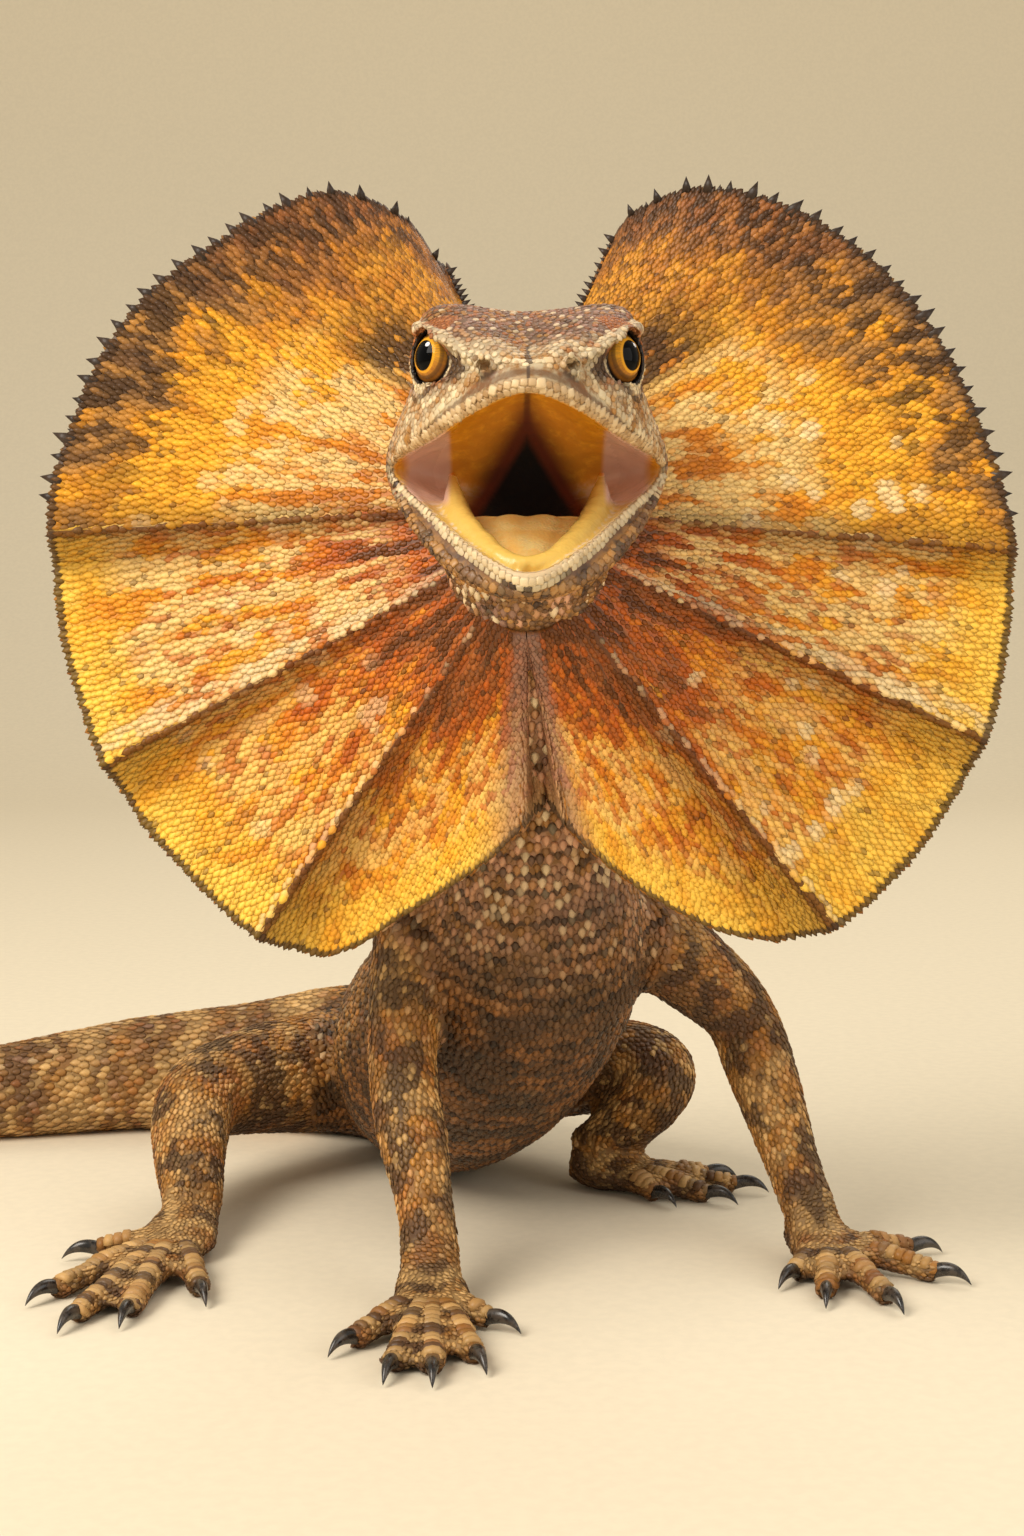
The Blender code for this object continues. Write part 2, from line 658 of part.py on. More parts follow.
def name_nodes(found):
    """Gives each large island the name of the nearest node centre, and drops loose scraps."""
    for name, centre in NODE_CENTRES.items():
        best = min(found, key=lambda piece: island_distance(piece, Vector(centre) * MM))
        found.remove(best)
        best.name = best.data.name = name
        best.data.materials.append(SKIN)
    for scrap in found:
        bpy.data.objects.remove(scrap)


def island_distance(piece, centre):
    if len(piece.data.vertices) < 60:
        return 1e3
    total = sum((v.co for v in piece.data.vertices), Vector()) / len(piece.data.vertices)
    return (total - centre).length


def rim_radius(side, angle):
    """The frill's reach at an angle from straight up."""
    angles, reach = zip(*FRILL_RIM[side])
    return float(np.interp(angle, angles, reach))


def pleat(side, angle):
    """How far forward the pleated surface stands, from 0 in a valley to 1 on a ridge."""
    marks = (45.0, *FRILL_RIDGES[side], 177.0)
    for low, high in zip(marks, marks[1:]):
        if low <= angle <= high:
            share = (angle - low) / (high - low)
            step = 4.0 / (high - low)
            if low != marks[0] and share < step:
                return 1 - share / step
            start = step if low != marks[0] else 0.0
            return ((share - start) / (1 - start)) ** 1.6
    return 0.0


def frill_point(side, angle, share):
    """A point on the frill's mid surface; share runs from the root, 0, to the rim, 1."""
    sign = 1 if side == "left" else -1
    a = math.radians(angle)
    up = (1 + math.cos(a)) / 2
    root_y = FRILL_ROOT_BOTTOM[0] + (FRILL_ROOT_TOP[0] - FRILL_ROOT_BOTTOM[0]) * up
    root_z = FRILL_ROOT_BOTTOM[1] + (FRILL_ROOT_TOP[1] - FRILL_ROOT_BOTTOM[1]) * up
    root = Vector((FRILL_CENTRE[0] + sign * FRILL_ROOT_SIDE * math.sin(a), root_y, root_z))
    reach = rim_radius(side, angle)
    rim_y = FRILL_CENTRE[1] - 12 * (1 - up)
    shift = NOTCH_SHIFT * max(0.0, (angle - 150) / 30)
    rim = Vector((FRILL_CENTRE[0] + shift + sign * max(reach * math.sin(a), 0.0), rim_y,
                  FRILL_CENTRE[2] + reach * math.cos(a)))
    point = root.lerp(rim, share)
    point.y += 6.0 * math.sin(math.pi * share) - PLEAT_DEPTH * pleat(side, angle) * share
    curl = max(0.0, (44 - angle) / 27.0)
    point.y += 24.0 * curl**2 * share
    groove = max(0.0, (angle - 171.0) / 9.0)
    point.y += 2.0 * groove**1.5 * min(1.0, share * 1.5)
    return point


def frill_angles(side):
    """The angles of the frill's radial lines: close at each ridge's step, wider between."""
    marks = [17.0, 45.0, *FRILL_RIDGES[side], 179.8]
    made = []
    for i, (low, high) in enumerate(zip(marks, marks[1:])):
        start = low
        if i >= 2:
            made.append(low)
            start = low + 4.0
        steps = max(3, round((high - start) / 6.6))
        made += [start + (high - start) * k / steps for k in range(steps)]
    return made + [marks[-1]]


def spine(at, way, across, length, wide, thick):
    """One flat, tapering rim spine, a four-sided cone with its root sunk in the rim."""
    work = bmesh.new()
    bmesh.ops.create_cone(work, cap_ends=True, segments=4, radius1=1.0, radius2=0.12, depth=1.0)
    frame = Matrix((across * wide, way.cross(across) * thick, way * length)).transposed().to_4x4()
    place = Matrix.Translation((at + way * length * 0.22) * MM) @ Matrix.Scale(MM, 4) @ frame
    bmesh.ops.transform(work, verts=work.verts, matrix=place)
    bmesh.ops.recalc_face_normals(work, faces=work.faces)
    return from_bmesh("spine", work, parts)


def rim_spines(side):
    """Spines along the rim: long and dark on the upper half, short below."""
    draw = random.Random(7 if side == "left" else 11)
    made = []
    rows = [(20 + 68 * (k + 0.5) / SPINES_UPPER, 6.0) for k in range(SPINES_UPPER)]
    rows += [(90 + 74 * (k + 0.5) / SPINES_LOWER, 2.6) for k in range(SPINES_LOWER)]
    for angle, length in rows:
        at = frill_point(side, angle, 0.995)
        inner = frill_point(side, angle, 0.94)
        beside = frill_point(side, angle + 1.0, 0.995)
        way = (at - inner).normalized()
        way = (way + Vector((0, 0, 0.25))).normalized()
        across = (beside - at).normalized()
        across = (across - way * across.dot(way)).normalized()
        size = draw.uniform(0.85, 1.15)
        made.append(spine(at, way, across, length * size, 1.6 * size if length > 3 else 1.0, 0.5))
    return made


def make_frill(side):
    """One half of the frill: a pleated membrane, thick at its root, with a spiny rim."""
    angles = frill_angles(side)
    rows = len(angles)
    verts, weights = [], []
    for angle in angles:
        for k in range(FRILL_STEPS + 1):
            share = k / FRILL_STEPS
            verts.append(frill_point(side, angle, share))
            weights.append((FRILL_THICK_ROOT + (FRILL_THICK_RIM - FRILL_THICK_ROOT) * min(1, share * 1.6))
                           / FRILL_THICK_ROOT)
    faces = []
    width = FRILL_STEPS + 1
    for i in range(rows - 1):
        for k in range(FRILL_STEPS):
            a, b = i * width + k, i * width + k + 1
            c, d = a + width, b + width
            faces += [(a, b, d), (a, d, c)]
    frill = mesh_object("frill_" + side, verts, faces, parts, FRILL_SKIN)
    thickness = frill.vertex_groups.new(name="thickness")
    for i, weight in enumerate(weights):
        thickness.add([i], weight, "REPLACE")
    use(frill, "SOLIDIFY", thickness=FRILL_THICK_ROOT * MM, offset=0.0, vertex_group="thickness",
        use_even_offset=False)
    settle(frill)
    boolean(frill, [other_side(side)], "DIFFERENCE")
    boolean(frill, [swollen(name) for name in ("head", "jaw", "neck")], "DIFFERENCE")
    boolean(frill, rim_spines(side), "UNION", "MANIFOLD")
    return keep_largest(frill, "frill_" + side, FRILL_SKIN)


def other_side(side):
    """A cutter that takes all beyond the line between the frill's halves, which leans."""
    sign = 1 if side == "left" else -1
    lean = math.atan2(NOTCH_SHIFT, FRILL_ROOT_BOTTOM[1] - (FRILL_CENTRE[2] - 71))
    turn = Matrix.Rotation(-lean, 3, "Y").to_quaternion()
    middle = Vector((FRILL_CENTRE[0], -150, FRILL_ROOT_BOTTOM[1])) - turn @ Vector((sign * (60 - GAP / 2), 0, 0))
    return box("middle", middle, (120, 200, 500), turn)


def swollen(node):
    """A copy of a node grown outwards by the usual gap, to cut its neighbour clear of it."""
    source = bpy.data.objects[node]
    copy = bpy.data.objects.new("swollen", source.data.copy())
    parts.objects.link(copy)
    use(copy, "DISPLACE", strength=GAP * MM, mid_level=0.0)
    return settle(copy)


def make_claws():
    for name, foot in FEET.items():
        length = CLAW_LENGTH[name.split("_")[0]]
        for number, tip in enumerate(foot["tips"], 1):
            claw(f"claw_{name}_{number}", foot, tip, length)


def shade():
    for obj in parts.objects:
        obj.data.shade_smooth()
        obj.data.set_sharp_from_angle(angle=math.radians(40))


make_head()
make_eyes()
make_tongue()
name_nodes(make_body())
make_claws()
for half in ("left", "right"):
    make_frill(half)
shade()
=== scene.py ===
"""Skin, frill, scales, eyes, mouth and claws of the frilled lizard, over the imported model.

Lengths in the tables below are millimetres in the frame of the model: the animal faces -Y, its
left is +X, and the floor is at Z 0. Everything that is made is in metres.
"""

import math

import bmesh
import bpy
import numpy as np
from bpy.props import FloatProperty, FloatVectorProperty, IntProperty, PointerProperty
from mathutils import Matrix, Vector
from mathutils.bvhtree import BVHTree
from mathutils.kdtree import KDTree


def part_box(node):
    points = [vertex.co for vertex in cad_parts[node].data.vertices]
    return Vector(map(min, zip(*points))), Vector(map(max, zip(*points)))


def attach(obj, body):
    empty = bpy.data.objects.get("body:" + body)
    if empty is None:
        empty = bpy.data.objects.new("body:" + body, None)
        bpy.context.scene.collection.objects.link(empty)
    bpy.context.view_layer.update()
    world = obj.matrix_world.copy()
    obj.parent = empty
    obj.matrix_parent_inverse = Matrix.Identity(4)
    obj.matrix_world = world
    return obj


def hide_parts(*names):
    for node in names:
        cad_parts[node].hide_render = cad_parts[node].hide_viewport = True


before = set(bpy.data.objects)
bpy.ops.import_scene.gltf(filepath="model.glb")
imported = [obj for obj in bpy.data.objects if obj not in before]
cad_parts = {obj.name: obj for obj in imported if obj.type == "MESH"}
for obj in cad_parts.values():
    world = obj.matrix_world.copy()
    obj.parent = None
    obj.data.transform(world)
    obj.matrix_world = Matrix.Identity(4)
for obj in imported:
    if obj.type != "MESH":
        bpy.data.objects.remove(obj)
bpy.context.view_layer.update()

bl_info = {
    "name": "Frilled lizard",
    "version": (1, 0, 0),
    "blender": (4, 5, 0),
    "location": "3D View > Sidebar > Lizard",
    "description": "Skin, frill, scales, eyes, mouth and claws of a frilled lizard",
    "category": "Object",
}

MM = 0.001
# How far above the floor the lowest scales and skin stay, in metres.
LOWEST = 0.0002
# How far the CAD nodes are grown before they are fused to a skin, in metres.
BODY_GROWTH, NECK_GROWTH = 0.00026, 0.0003

# Body paths
# The middle of the trunk and tail and of each leg, from which the scales' lie and the bands
# are worked out. Each runs away from the head.
TRUNK_PATH = [
    (30.5, -186, 232), (31, -160, 176), (34, -126, 117), (31, -103, 90), (22, -76, 67), (11, -44, 47),
    (4, -6, 32), (-8, 27, 26), (-34, 44, 24), (-62, 49, 21), (-102, 47, 18), (-148, 34, 15),
    (-202, 21, 12), (-260, 17, 10), (-318, 28, 8), (-370, 54, 6), (-412, 90, 5), (-442, 133, 4),
    (-460, 178, 3), (-470, 218, 2),
]
LEG_PATHS = [
    [(12, -108, 92), (-1, -116, 78), (-3, -123, 59), (0, -133, 42), (4, -145, 24), (6, -156, 11),
     (2, -222, 2)],
    [(58, -95, 91), (79, -88, 77), (93, -82, 63), (99, -89, 47), (106, -102, 25), (111, -112, 11),
     (134, -165, 2)],
    [(-20, 0, 31), (-50, -28, 33), (-66, -47, 32), (-69, -62, 27), (-67, -80, 18), (-64, -97, 10),
     (-74, -178, 2)],
    [(24, 6, 30), (52, -12, 34), (71, -25, 35), (71, -33, 29), (60, -31, 17), (48, -29, 9),
     (104, -48, 2)],
]
FEET = {
    "forefoot_right": ((6.5, -165), [(24, -17), (15, -48), (2, -57), (-10, -55), (-25, -35)]),
    "forefoot_left": ((114, -119), [(-17, -26), (-6, -43), (14, -48), (37, -22), (35, 10)]),
    "hindfoot_right": ((-66, -112), [(14, -48), (-6, -66), (-21, -70), (-34, -47), (-33, -4)]),
    "hindfoot_left": ((58, -36), [(19, -27), (38, -24), (49, -9), (41, 8), (14, 22)]),
}
FLESH = ["neck", "chest", "belly", "tail_base", "tail_middle", "tail_tip", "foreleg_right",
         "foreleg_left", "hindleg_right", "hindleg_left", *FEET]

# Head
# Rings from the back of the skull over the face to the lips, then along the mouth's lining to
# the throat. Each: top (forward, up), then brow, cheek and side (side, forward, up), then
# bottom (forward, up), all from the middle of the mouth's corners.
HEAD_CENTRE = (30.5, -200, 216)
HEAD_RINGS = [
    ((-34, 26), (15, -32, 24), (20, -30, 10), (22, -26, -3), (-12, -31)),
    ((-24, 31.5), (18.5, -23, 31), (24.5, -21, 16), (28, -17, -2), (-5, -32)),
    ((-12, 34.3), (20.5, -12, 34.5), (26, -11, 18), (31.5, -9, -1), (4, -32)),
    ((0, 35), (21.8, 0, 36), (26.5, -1, 19), (33.2, -3.5, 0), (13, -32)),
    ((10, 34), (23, 9, 34.5), (26.8, 6, 17), (33.2, -1, 0), (21, -32)),
    ((20, 30.3), (21, 19, 31), (26.8, 12, 14), (33, 0, -0.3), (28, -32)),
    ((31, 25.2), (15.3, 31, 25.8), (25.5, 20, 10.5), (32.8, 0.8, -0.6), (34, -32)),
    ((41, 21), (9, 40, 21.2), (23, 27, 8.5), (32.6, 1.4, -0.8), (39, -31.3)),
    ((47, 17.5), (10, 43, 14.5), (21.8, 28.5, 7), (32.4, 1.9, -1), (42, -29.5)),
    ((48.5, 14.5), (10.5, 43.5, 12), (21.3, 28, 5.8), (32.1, 2.2, -1.2), (43, -27.2)),
    ((47, 12.9), (10.5, 41.5, 9.7), (20.5, 26.5, 4.6), (31.3, 2, -1.3), (42, -25.4)),
    ((44.5, 13.2), (9.8, 39, 10.3), (19, 24, 5), (29.8, 0.5, -1.3), (39.5, -25.6)),
    ((41, 15), (9, 35.5, 12.5), (17.5, 20, 7.5), (27.5, -3, -1.5), (36, -27)),
    ((28, 17), (8.5, 24, 14.5), (16, 12, 8.5), (23, -7, -2), (23, -24)),
    ((11, 13.5), (8, 8.5, 10.5), (13, 2, 5), (17, -9, -3), (6, -19)),
    ((-3, 6.5), (6, -4, 4.5), (9.5, -6, 0.5), (11.5, -9.5, -4.5), (-5, -14.5)),
    ((-9, 1), (3.5, -9.5, -1), (6, -10.5, -3), (7, -11, -5.5), (-10, -10.5)),
]
FIRST_LIP_RING = 8
# Scales of the face and nape keep to the rings before this one, and the nape's begin this far
# ahead of the middle.
FACE_END, NAPE_AHEAD = 7.6, -14
CHEEK_LOW = ((0.8, 0.5, 0.48), (0.44, 0.87, 0.86))
LIP_LOW = ((0.68, 0.45, 0.445), (0.335, 0.83, 0.81))
EYE_CENTRE = (18, 16.5, 22.4)
EYE_LOOK = (0.74, 0.66, 0.12)
EYE_RADIUS, SOCKET_REACH, LID_REACH = 7.6, 8.05, 10.4
EAR = (31.3, -14, 9)
NOSTRIL_RING = (9.9, 43, 19.4)
NOSTRIL_LOOK = (0.62, 0.75, 0.15)
BROW_PATH = [(24, 3, 30.5), (25.2, 10, 30.3), (23.6, 18, 28.9), (20, 26, 26.6), (15.6, 33, 23.4),
             (11.6, 38.6, 20.6)]
BAND_PATH = [(24, 19, 25.5), (21, 25, 22.5), (17.5, 30, 20.8), (14, 36, 19.2), (11.2, 40.5, 18.6)]
# Rows of lip plates: the ring each follows, and its plates' width in metres. The first and the
# third keep to the upper lip, the last two to the lower. Then the steps of the grid they lie on.
LIP_ROWS = ((7.25, 0.0023), (8.75, 0.0019), (9.5, 0.0016), (8.05, 0.0019), (7.45, 0.0021))
LIP_AROUND, LIP_ALONG = 24, 12
GUM_PATH = [(17.6, -3, -2), (16.8, 7, -8.6), (14.2, 17, -14.8), (9.6, 26, -20), (5.4, 32, -23),
            (0, 34.5, -24.3)]

# Frill
# Its root ring round the neck, then its rim: the angle from straight up and the radius.
FRILL_CENTRE = (30.5, -150, 204)
FRILL_ROOT_TOP = (-158, 238)
FRILL_ROOT_BOTTOM = (-187, 176)
FRILL_ROOT_SIDE = 17
FRILL_RIM = {
    "right": [
        (19, 70), (21, 82), (26, 91), (31.5, 97.5), (41, 101.5), (50, 105), (59, 110.5), (67, 113.7),
        (78, 116), (85, 118.5), (104, 121), (112, 121.3), (128.5, 124), (136, 123.7), (148.8, 124.8),
        (154.5, 122.7), (157.8, 116), (161, 106), (166, 95), (172, 84), (176, 76), (179.8, 71),
    ],
    "left": [
        (16, 70), (19, 84), (26, 94), (33, 99), (42, 103.5), (49.5, 107), (59, 111), (68, 113.5),
        (77.5, 115.7), (86.5, 119.5), (99, 124.5), (109, 126.5), (121.5, 129.5), (130, 130),
        (138, 129.5), (143.7, 128.5), (149, 124.5), (155, 114.5), (161.5, 101), (170, 85.5), (176, 76),
        (179.8, 71),
    ],
}
NOTCH_SHIFT = 5.5
FRILL_RIDGES = {"right": (91.5, 120, 147), "left": (93.5, 115.5, 142.5)}
FIRST_ANGLE, LAST_ANGLE = 17, 179.6
STEP_ANGLE = 4
PLEATS_FROM, PLEATS_TO = 45, 177
LEFT = {"right": 0.0, "left": 1.0}
# How deep the frill's scales sit in its thickness, in millimetres.
FRILL_COAT = 0.12

# Camera
CAMERA_PLACE = (0.027, -0.76, 0.19)
CAMERA_PITCH = math.atan(193 / 2370)
CAMERA_LENS = 36 * 2370 / 1536


def length_property(name, value, note):
    return FloatProperty(name=name, description=note, default=value, unit="LENGTH")


def power_property(name, value, note):
    return FloatProperty(name=name, description=note, default=value, unit="POWER")


def colour_property(name, value, note):
    return FloatVectorProperty(name=name, description=note, default=value, subtype="COLOR", size=3,
                               min=0.0, max=1.0)


class LizardSizes(bpy.types.PropertyGroup):
    """Sizes that a user would change."""
    body_voxel: length_property("Body skin mesh", 0.0016, "Edge length of the body skin's mesh")
    head_voxel: length_property("Head skin mesh", 0.00075, "Edge length of the head skin's mesh")
    pleat_depth: length_property("Pleat depth", 0.009, "How far a frill pleat stands out at the rim")
    frill_root: length_property("Frill root thickness", 0.0026, "Thickness of the frill at the neck")
    frill_rim: length_property("Frill rim thickness", 0.0011, "Thickness of the frill at its rim")
    spine_length: length_property("Rim spine length", 0.0044, "Length of the upper rim's spines")


class LizardScales(bpy.types.PropertyGroup):
    """Spacing of the scales on each region."""
    trunk: length_property("Trunk", 0.0019, "Spacing of the trunk's scales")
    tail: length_property("Tail", 0.0023, "Spacing of the tail's scales")
    legs: length_property("Legs", 0.0015, "Spacing of the legs' scales")
    feet: length_property("Feet", 0.0012, "Spacing of the feet's scales")
    head: length_property("Head", 0.0014, "Spacing of the head's scales")
    frill: length_property("Frill", 0.0018, "Spacing of the frill's scales")
    seed: IntProperty(name="Seed", description="Seed of the scatter", default=4)


class LizardColours(bpy.types.PropertyGroup):
    """Colours of the skin, the frill, the mouth and the eyes."""
    umber: colour_property("Umber", (0.06, 0.03, 0.014), "Darkest skin")
    brown: colour_property("Brown", (0.17, 0.08, 0.03), "Common skin")
    ochre: colour_property("Ochre", (0.44, 0.205, 0.048), "Light patches of the body")
    rust: colour_property("Rust", (0.4, 0.12, 0.025), "Flecks of the body and head")
    mauve: colour_property("Mauve", (0.33, 0.185, 0.135), "Chest and head top")
    # Cream is also the painted highlight just above two of the frill's ridges.
    cream: colour_property("Cream", (0.78, 0.62, 0.38), "Pale scales, lips and streaks")
    # Sandy is the pale bands of the tail and pale marks of the legs and feet; on the legs' upper side it is
    # also a painted highlight.
    sandy: colour_property("Sandy", (0.64, 0.385, 0.14), "Lit scales of the legs, feet and tail")
    # Sienna is also the painted shade just below the frill's ridges.
    sienna: colour_property("Sienna", (0.15, 0.045, 0.008), "Dark root and folds of the frill")
    deep_orange: colour_property("Deep orange", (0.52, 0.11, 0.01), "Frill near its root")
    orange: colour_property("Orange", (0.78, 0.27, 0.02), "Middle of the frill")
    golden: colour_property("Golden", (0.9, 0.43, 0.03), "Outer part of the frill")
    yellow: colour_property("Yellow", (0.95, 0.57, 0.075), "Rim of the lower frill")
    amber: colour_property("Amber", (0.68, 0.27, 0.015), "Vault of the mouth")
    gum: colour_property("Gum", (0.74, 0.49, 0.11), "Gums of the lower jaw")
    web: colour_property("Web", (0.76, 0.5, 0.43), "Webs at the corners of the mouth")
    iris: colour_property("Iris", (0.52, 0.26, 0.04), "Iris")


class LizardStage(bpy.types.PropertyGroup):
    """Floor, light and camera."""
    floor_colour: colour_property("Floor", (0.86, 0.76, 0.58), "Floor and backdrop")
    key_power: power_property("Key light", 19.0, "Power of the key light")
    fill_power: power_property("Fill light", 5.0, "Power of the fill light")
    sky: FloatProperty(name="Sky", description="Strength of the light from all round", default=0.5)


def sizes():
    return bpy.context.scene.lizard_sizes


def scales():
    return bpy.context.scene.lizard_scales


def colour(tone):
    """The colour of this name, or the colour itself."""
    if isinstance(tone, str):
        return tuple(getattr(bpy.context.scene.lizard_colours, tone))
    return tone


# Mesh tools

def spline(rows, steps, closed=False):
    """Rows of numbers run smoothly through, with the given steps in each span (Catmull-Rom)."""
    rows = np.array(rows, float)
    if closed:
        ends = np.vstack([rows[-1:], rows, rows[:2]])
    else:
        ends = np.vstack([2 * rows[0] - rows[1], rows, 2 * rows[-1] - rows[-2]])
    made = []
    for a, b, c, d in zip(ends, ends[1:], ends[2:], ends[3:]):
        for t in np.arange(steps) / steps:
            made.append(0.5 * (2 * b + (c - a) * t + (2 * a - 5 * b + 4 * c - d) * t**2
                               + (3 * b - 3 * c + d - a) * t**3))
    if not closed:
        made.append(rows[-1])
    return np.array(made)


def ring_faces(rings, sides):
    """Faces of a tube of rings that follow one another; its ends fan round two added points."""
    faces = []
    for i in range(rings - 1):
        for k in range(sides):
            n = (k + 1) % sides
            faces.append((i * sides + k, i * sides + n, (i + 1) * sides + n, (i + 1) * sides + k))
    for ring, middle in ((0, rings * sides), (rings - 1, rings * sides + 1)):
        for k in range(sides):
            faces.append((middle, ring * sides + k, ring * sides + (k + 1) % sides))
    return faces


def tube(name, points, sides):
    """A closed tube from rings of points in millimetres, ring after ring."""
    points = np.array(points, float).reshape(-1, 3)
    rings = len(points) // sides
    ends = [points[:sides].mean(axis=0), points[-sides:].mean(axis=0)]
    return made(name, np.vstack([points, ends]), ring_faces(rings, sides))


def linked(name, data):
    """An object for this mesh, lamp or camera, in the scene."""
    obj = bpy.data.objects.new(name, data)
    bpy.context.scene.collection.objects.link(obj)
    return obj


def made(name, points, faces):
    """A mesh object from points in millimetres, its normals turned outwards."""
    mesh = bpy.data.meshes.new(name)
    mesh.from_pydata([tuple(p) for p in np.array(points, float) * MM], [], faces)
    work = bmesh.new()
    work.from_mesh(mesh)
    bmesh.ops.recalc_face_normals(work, faces=work.faces)
    work.to_mesh(mesh)
    work.free()
    return linked(name, mesh)


def use(obj, kind, **settings):
    """Adds a modifier of this kind with these settings."""
    modifier = obj.modifiers.new(kind.lower(), kind)
    for key, value in settings.items():
        setattr(modifier, key, value)
    return modifier


def plain_mesh(obj):
    """What the object's modifiers make of its mesh; they are removed from it."""
    graph = bpy.context.evaluated_depsgraph_get()
    mesh = bpy.data.meshes.new_from_object(obj.evaluated_get(graph))
    obj.modifiers.clear()
    return mesh


def settle(obj):
    obj.data = plain_mesh(obj)
    return obj


def clear_materials(mesh):
    mesh.materials.clear()
    mesh.polygons.foreach_set("material_index", [0] * len(mesh.polygons))


def copy_of(node, grow):
    """A welded copy of a CAD node, grown outwards by so many metres."""
    obj = linked("copy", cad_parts[node].data.copy())
    obj.data.materials.clear()
    use(obj, "WELD", merge_threshold=1e-6)
    use(obj, "DISPLACE", strength=grow, mid_level=0.0)
    return settle(obj)


def joined(name, pieces):
    """One object that holds the pieces' meshes; the pieces are removed."""
    work = bmesh.new()
    for piece in pieces:
        work.from_mesh(piece.data)
    mesh = bpy.data.meshes.new(name)
    work.to_mesh(mesh)
    work.free()
    for piece in pieces:
        bpy.data.objects.remove(piece)
    return linked(name, mesh)


def cut(obj, tools):
    """Takes the closed tools away from obj and removes them."""
    for tool in tools:
        use(obj, "BOOLEAN", operation="DIFFERENCE", solver="MANIFOLD", object=tool)
    clear_materials(settle(obj).data)
    for tool in tools:
        bpy.data.objects.remove(tool)


def keep_side(obj, place, way):
    """Keeps what lies on the side that way points to, and closes the cut."""
    work = bmesh.new()
    work.from_mesh(obj.data)
    found = bmesh.ops.bisect_plane(work, geom=work.verts[:] + work.edges[:] + work.faces[:],
                                   plane_co=place, plane_no=-Vector(way), clear_outer=True)
    edges = [item for item in found["geom_cut"] if isinstance(item, bmesh.types.BMEdge)]
    bmesh.ops.holes_fill(work, edges=edges)
    work.to_mesh(obj.data)
    work.free()


def points_of(mesh, what="co"):
    """Each point's place in metres, or its normal."""
    flat = np.empty(len(mesh.vertices) * 3, np.float32)
    mesh.vertices.foreach_get(what, flat)
    return flat.reshape(-1, 3).astype(float)


def put_points(mesh, points):
    mesh.vertices.foreach_set("co", np.ascontiguousarray(points, np.float32).ravel())
    mesh.update()


def note(mesh, **values):
    """Stores a number or a vector for each point under each of the names."""
    for name, rows in values.items():
        rows = np.ascontiguousarray(rows, np.float32)
        kind, field = ("FLOAT", "value") if rows.ndim == 1 else ("FLOAT_VECTOR", "vector")
        layer = mesh.attributes.get(name) or mesh.attributes.new(name, kind, "POINT")
        layer.data.foreach_set(field, rows.ravel())


def unwrap(obj):
    """An unwrap of the skin's own shape, kept as a vector on each point for the scales' roots."""
    bpy.ops.object.select_all(action="DESELECT")
    obj.select_set(True)
    bpy.context.view_layer.objects.active = obj
    if not obj.data.uv_layers:
        obj.data.uv_layers.new(name="skin_map")
    bpy.ops.object.mode_set(mode="EDIT")
    bpy.ops.mesh.select_all(action="SELECT")
    bpy.ops.uv.smart_project(angle_limit=math.radians(66), island_margin=0.002)
    bpy.ops.object.mode_set(mode="OBJECT")
    mesh = obj.data
    corners = np.empty(len(mesh.loops) * 2, np.float32)
    mesh.uv_layers[0].data.foreach_get("uv", corners)
    index = np.empty(len(mesh.loops), np.int32)
    mesh.loops.foreach_get("vertex_index", index)
    root = np.zeros((len(mesh.vertices), 3))
    root[index, :2] = corners.reshape(-1, 2)
    note(mesh, root_map=root)


def present(obj, nodes=()):
    """Hands a finished piece to the frame."""
    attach(obj, "root")
    if nodes:
        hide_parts(*nodes)


def dress(obj, look, nodes):
    """Smooths a piece, gives it its finish and hands it to the frame."""
    obj.data.shade_smooth()
    obj.data.materials.append(finish(look))
    present(obj, nodes)


# Node tools

class Nodes:
    """A node tree, with short words for the nodes that are added to it."""

    def __init__(self, tree):
        self.tree = tree

    def wire(self, value, socket):
        """Links an output, or sets a plain value or a named colour; None leaves the input."""
        if isinstance(value, bpy.types.NodeSocket):
            self.tree.links.new(value, socket)
        elif value is not None:
            socket.default_value = (*colour(value), 1.0) if socket.type == "RGBA" else value

    def add(self, kind, *inputs, named=(), **settings):
        """A node with its settings made and its inputs, in order or by name, wired or set."""
        node = self.tree.nodes.new(kind)
        for key, value in settings.items():
            setattr(node, key, value)
        for socket, value in zip(node.inputs, inputs):
            self.wire(value, socket)
        for key, value in dict(named).items():
            self.wire(value, node.inputs[key])
        return node

    def maths(self, operation, *inputs):
        return self.add("ShaderNodeMath", *inputs, operation=operation).outputs[0]

    def plus(self, first, second):
        return self.maths("ADD", first, second)

    def minus(self, first, second):
        return self.maths("SUBTRACT", first, second)

    def times(self, *values):
        """The product of the values; of masks, what lies in all of them."""
        total = values[0]
        for value in values[1:]:
            total = self.maths("MULTIPLY", total, value)
        return total

    def vector(self, operation, *inputs):
        return self.add("ShaderNodeVectorMath", *inputs, operation=operation).outputs[0]

    def ramp(self, value, low, high, start=0.0, end=1.0, kind="SMOOTHSTEP"):
        """The value's way from low to high, as start to end, held at both ends."""
        return self.add("ShaderNodeMapRange", value, low, high, start, end,
                        interpolation_type=kind).outputs[0]

    def within(self, value, low, high, soft):
        """1 where the value lies between low and high, falling to 0 over soft on both sides."""
        rise = self.ramp(value, low - soft, low)
        return self.times(rise, self.ramp(value, high, high + soft, 1.0, 0.0))

    def bands(self, value, rate, low, high):
        """Bands across the value's way: a ramp of its sine."""
        return self.ramp(self.maths("SINE", self.times(value, rate)), low, high)

    def read(self, name, kind="FLOAT_VECTOR"):
        """A named attribute of the points, in Geometry Nodes."""
        return self.add("GeometryNodeInputNamedAttribute", name, data_type=kind).outputs[0]

    def keep(self, geometry, name, value, kind, domain="POINT"):
        """The geometry with the value stored on it under this name."""
        return self.add("GeometryNodeStoreNamedAttribute", data_type=kind, domain=domain,
                        named={"Geometry": geometry, "Name": name, "Value": value}).outputs[0]


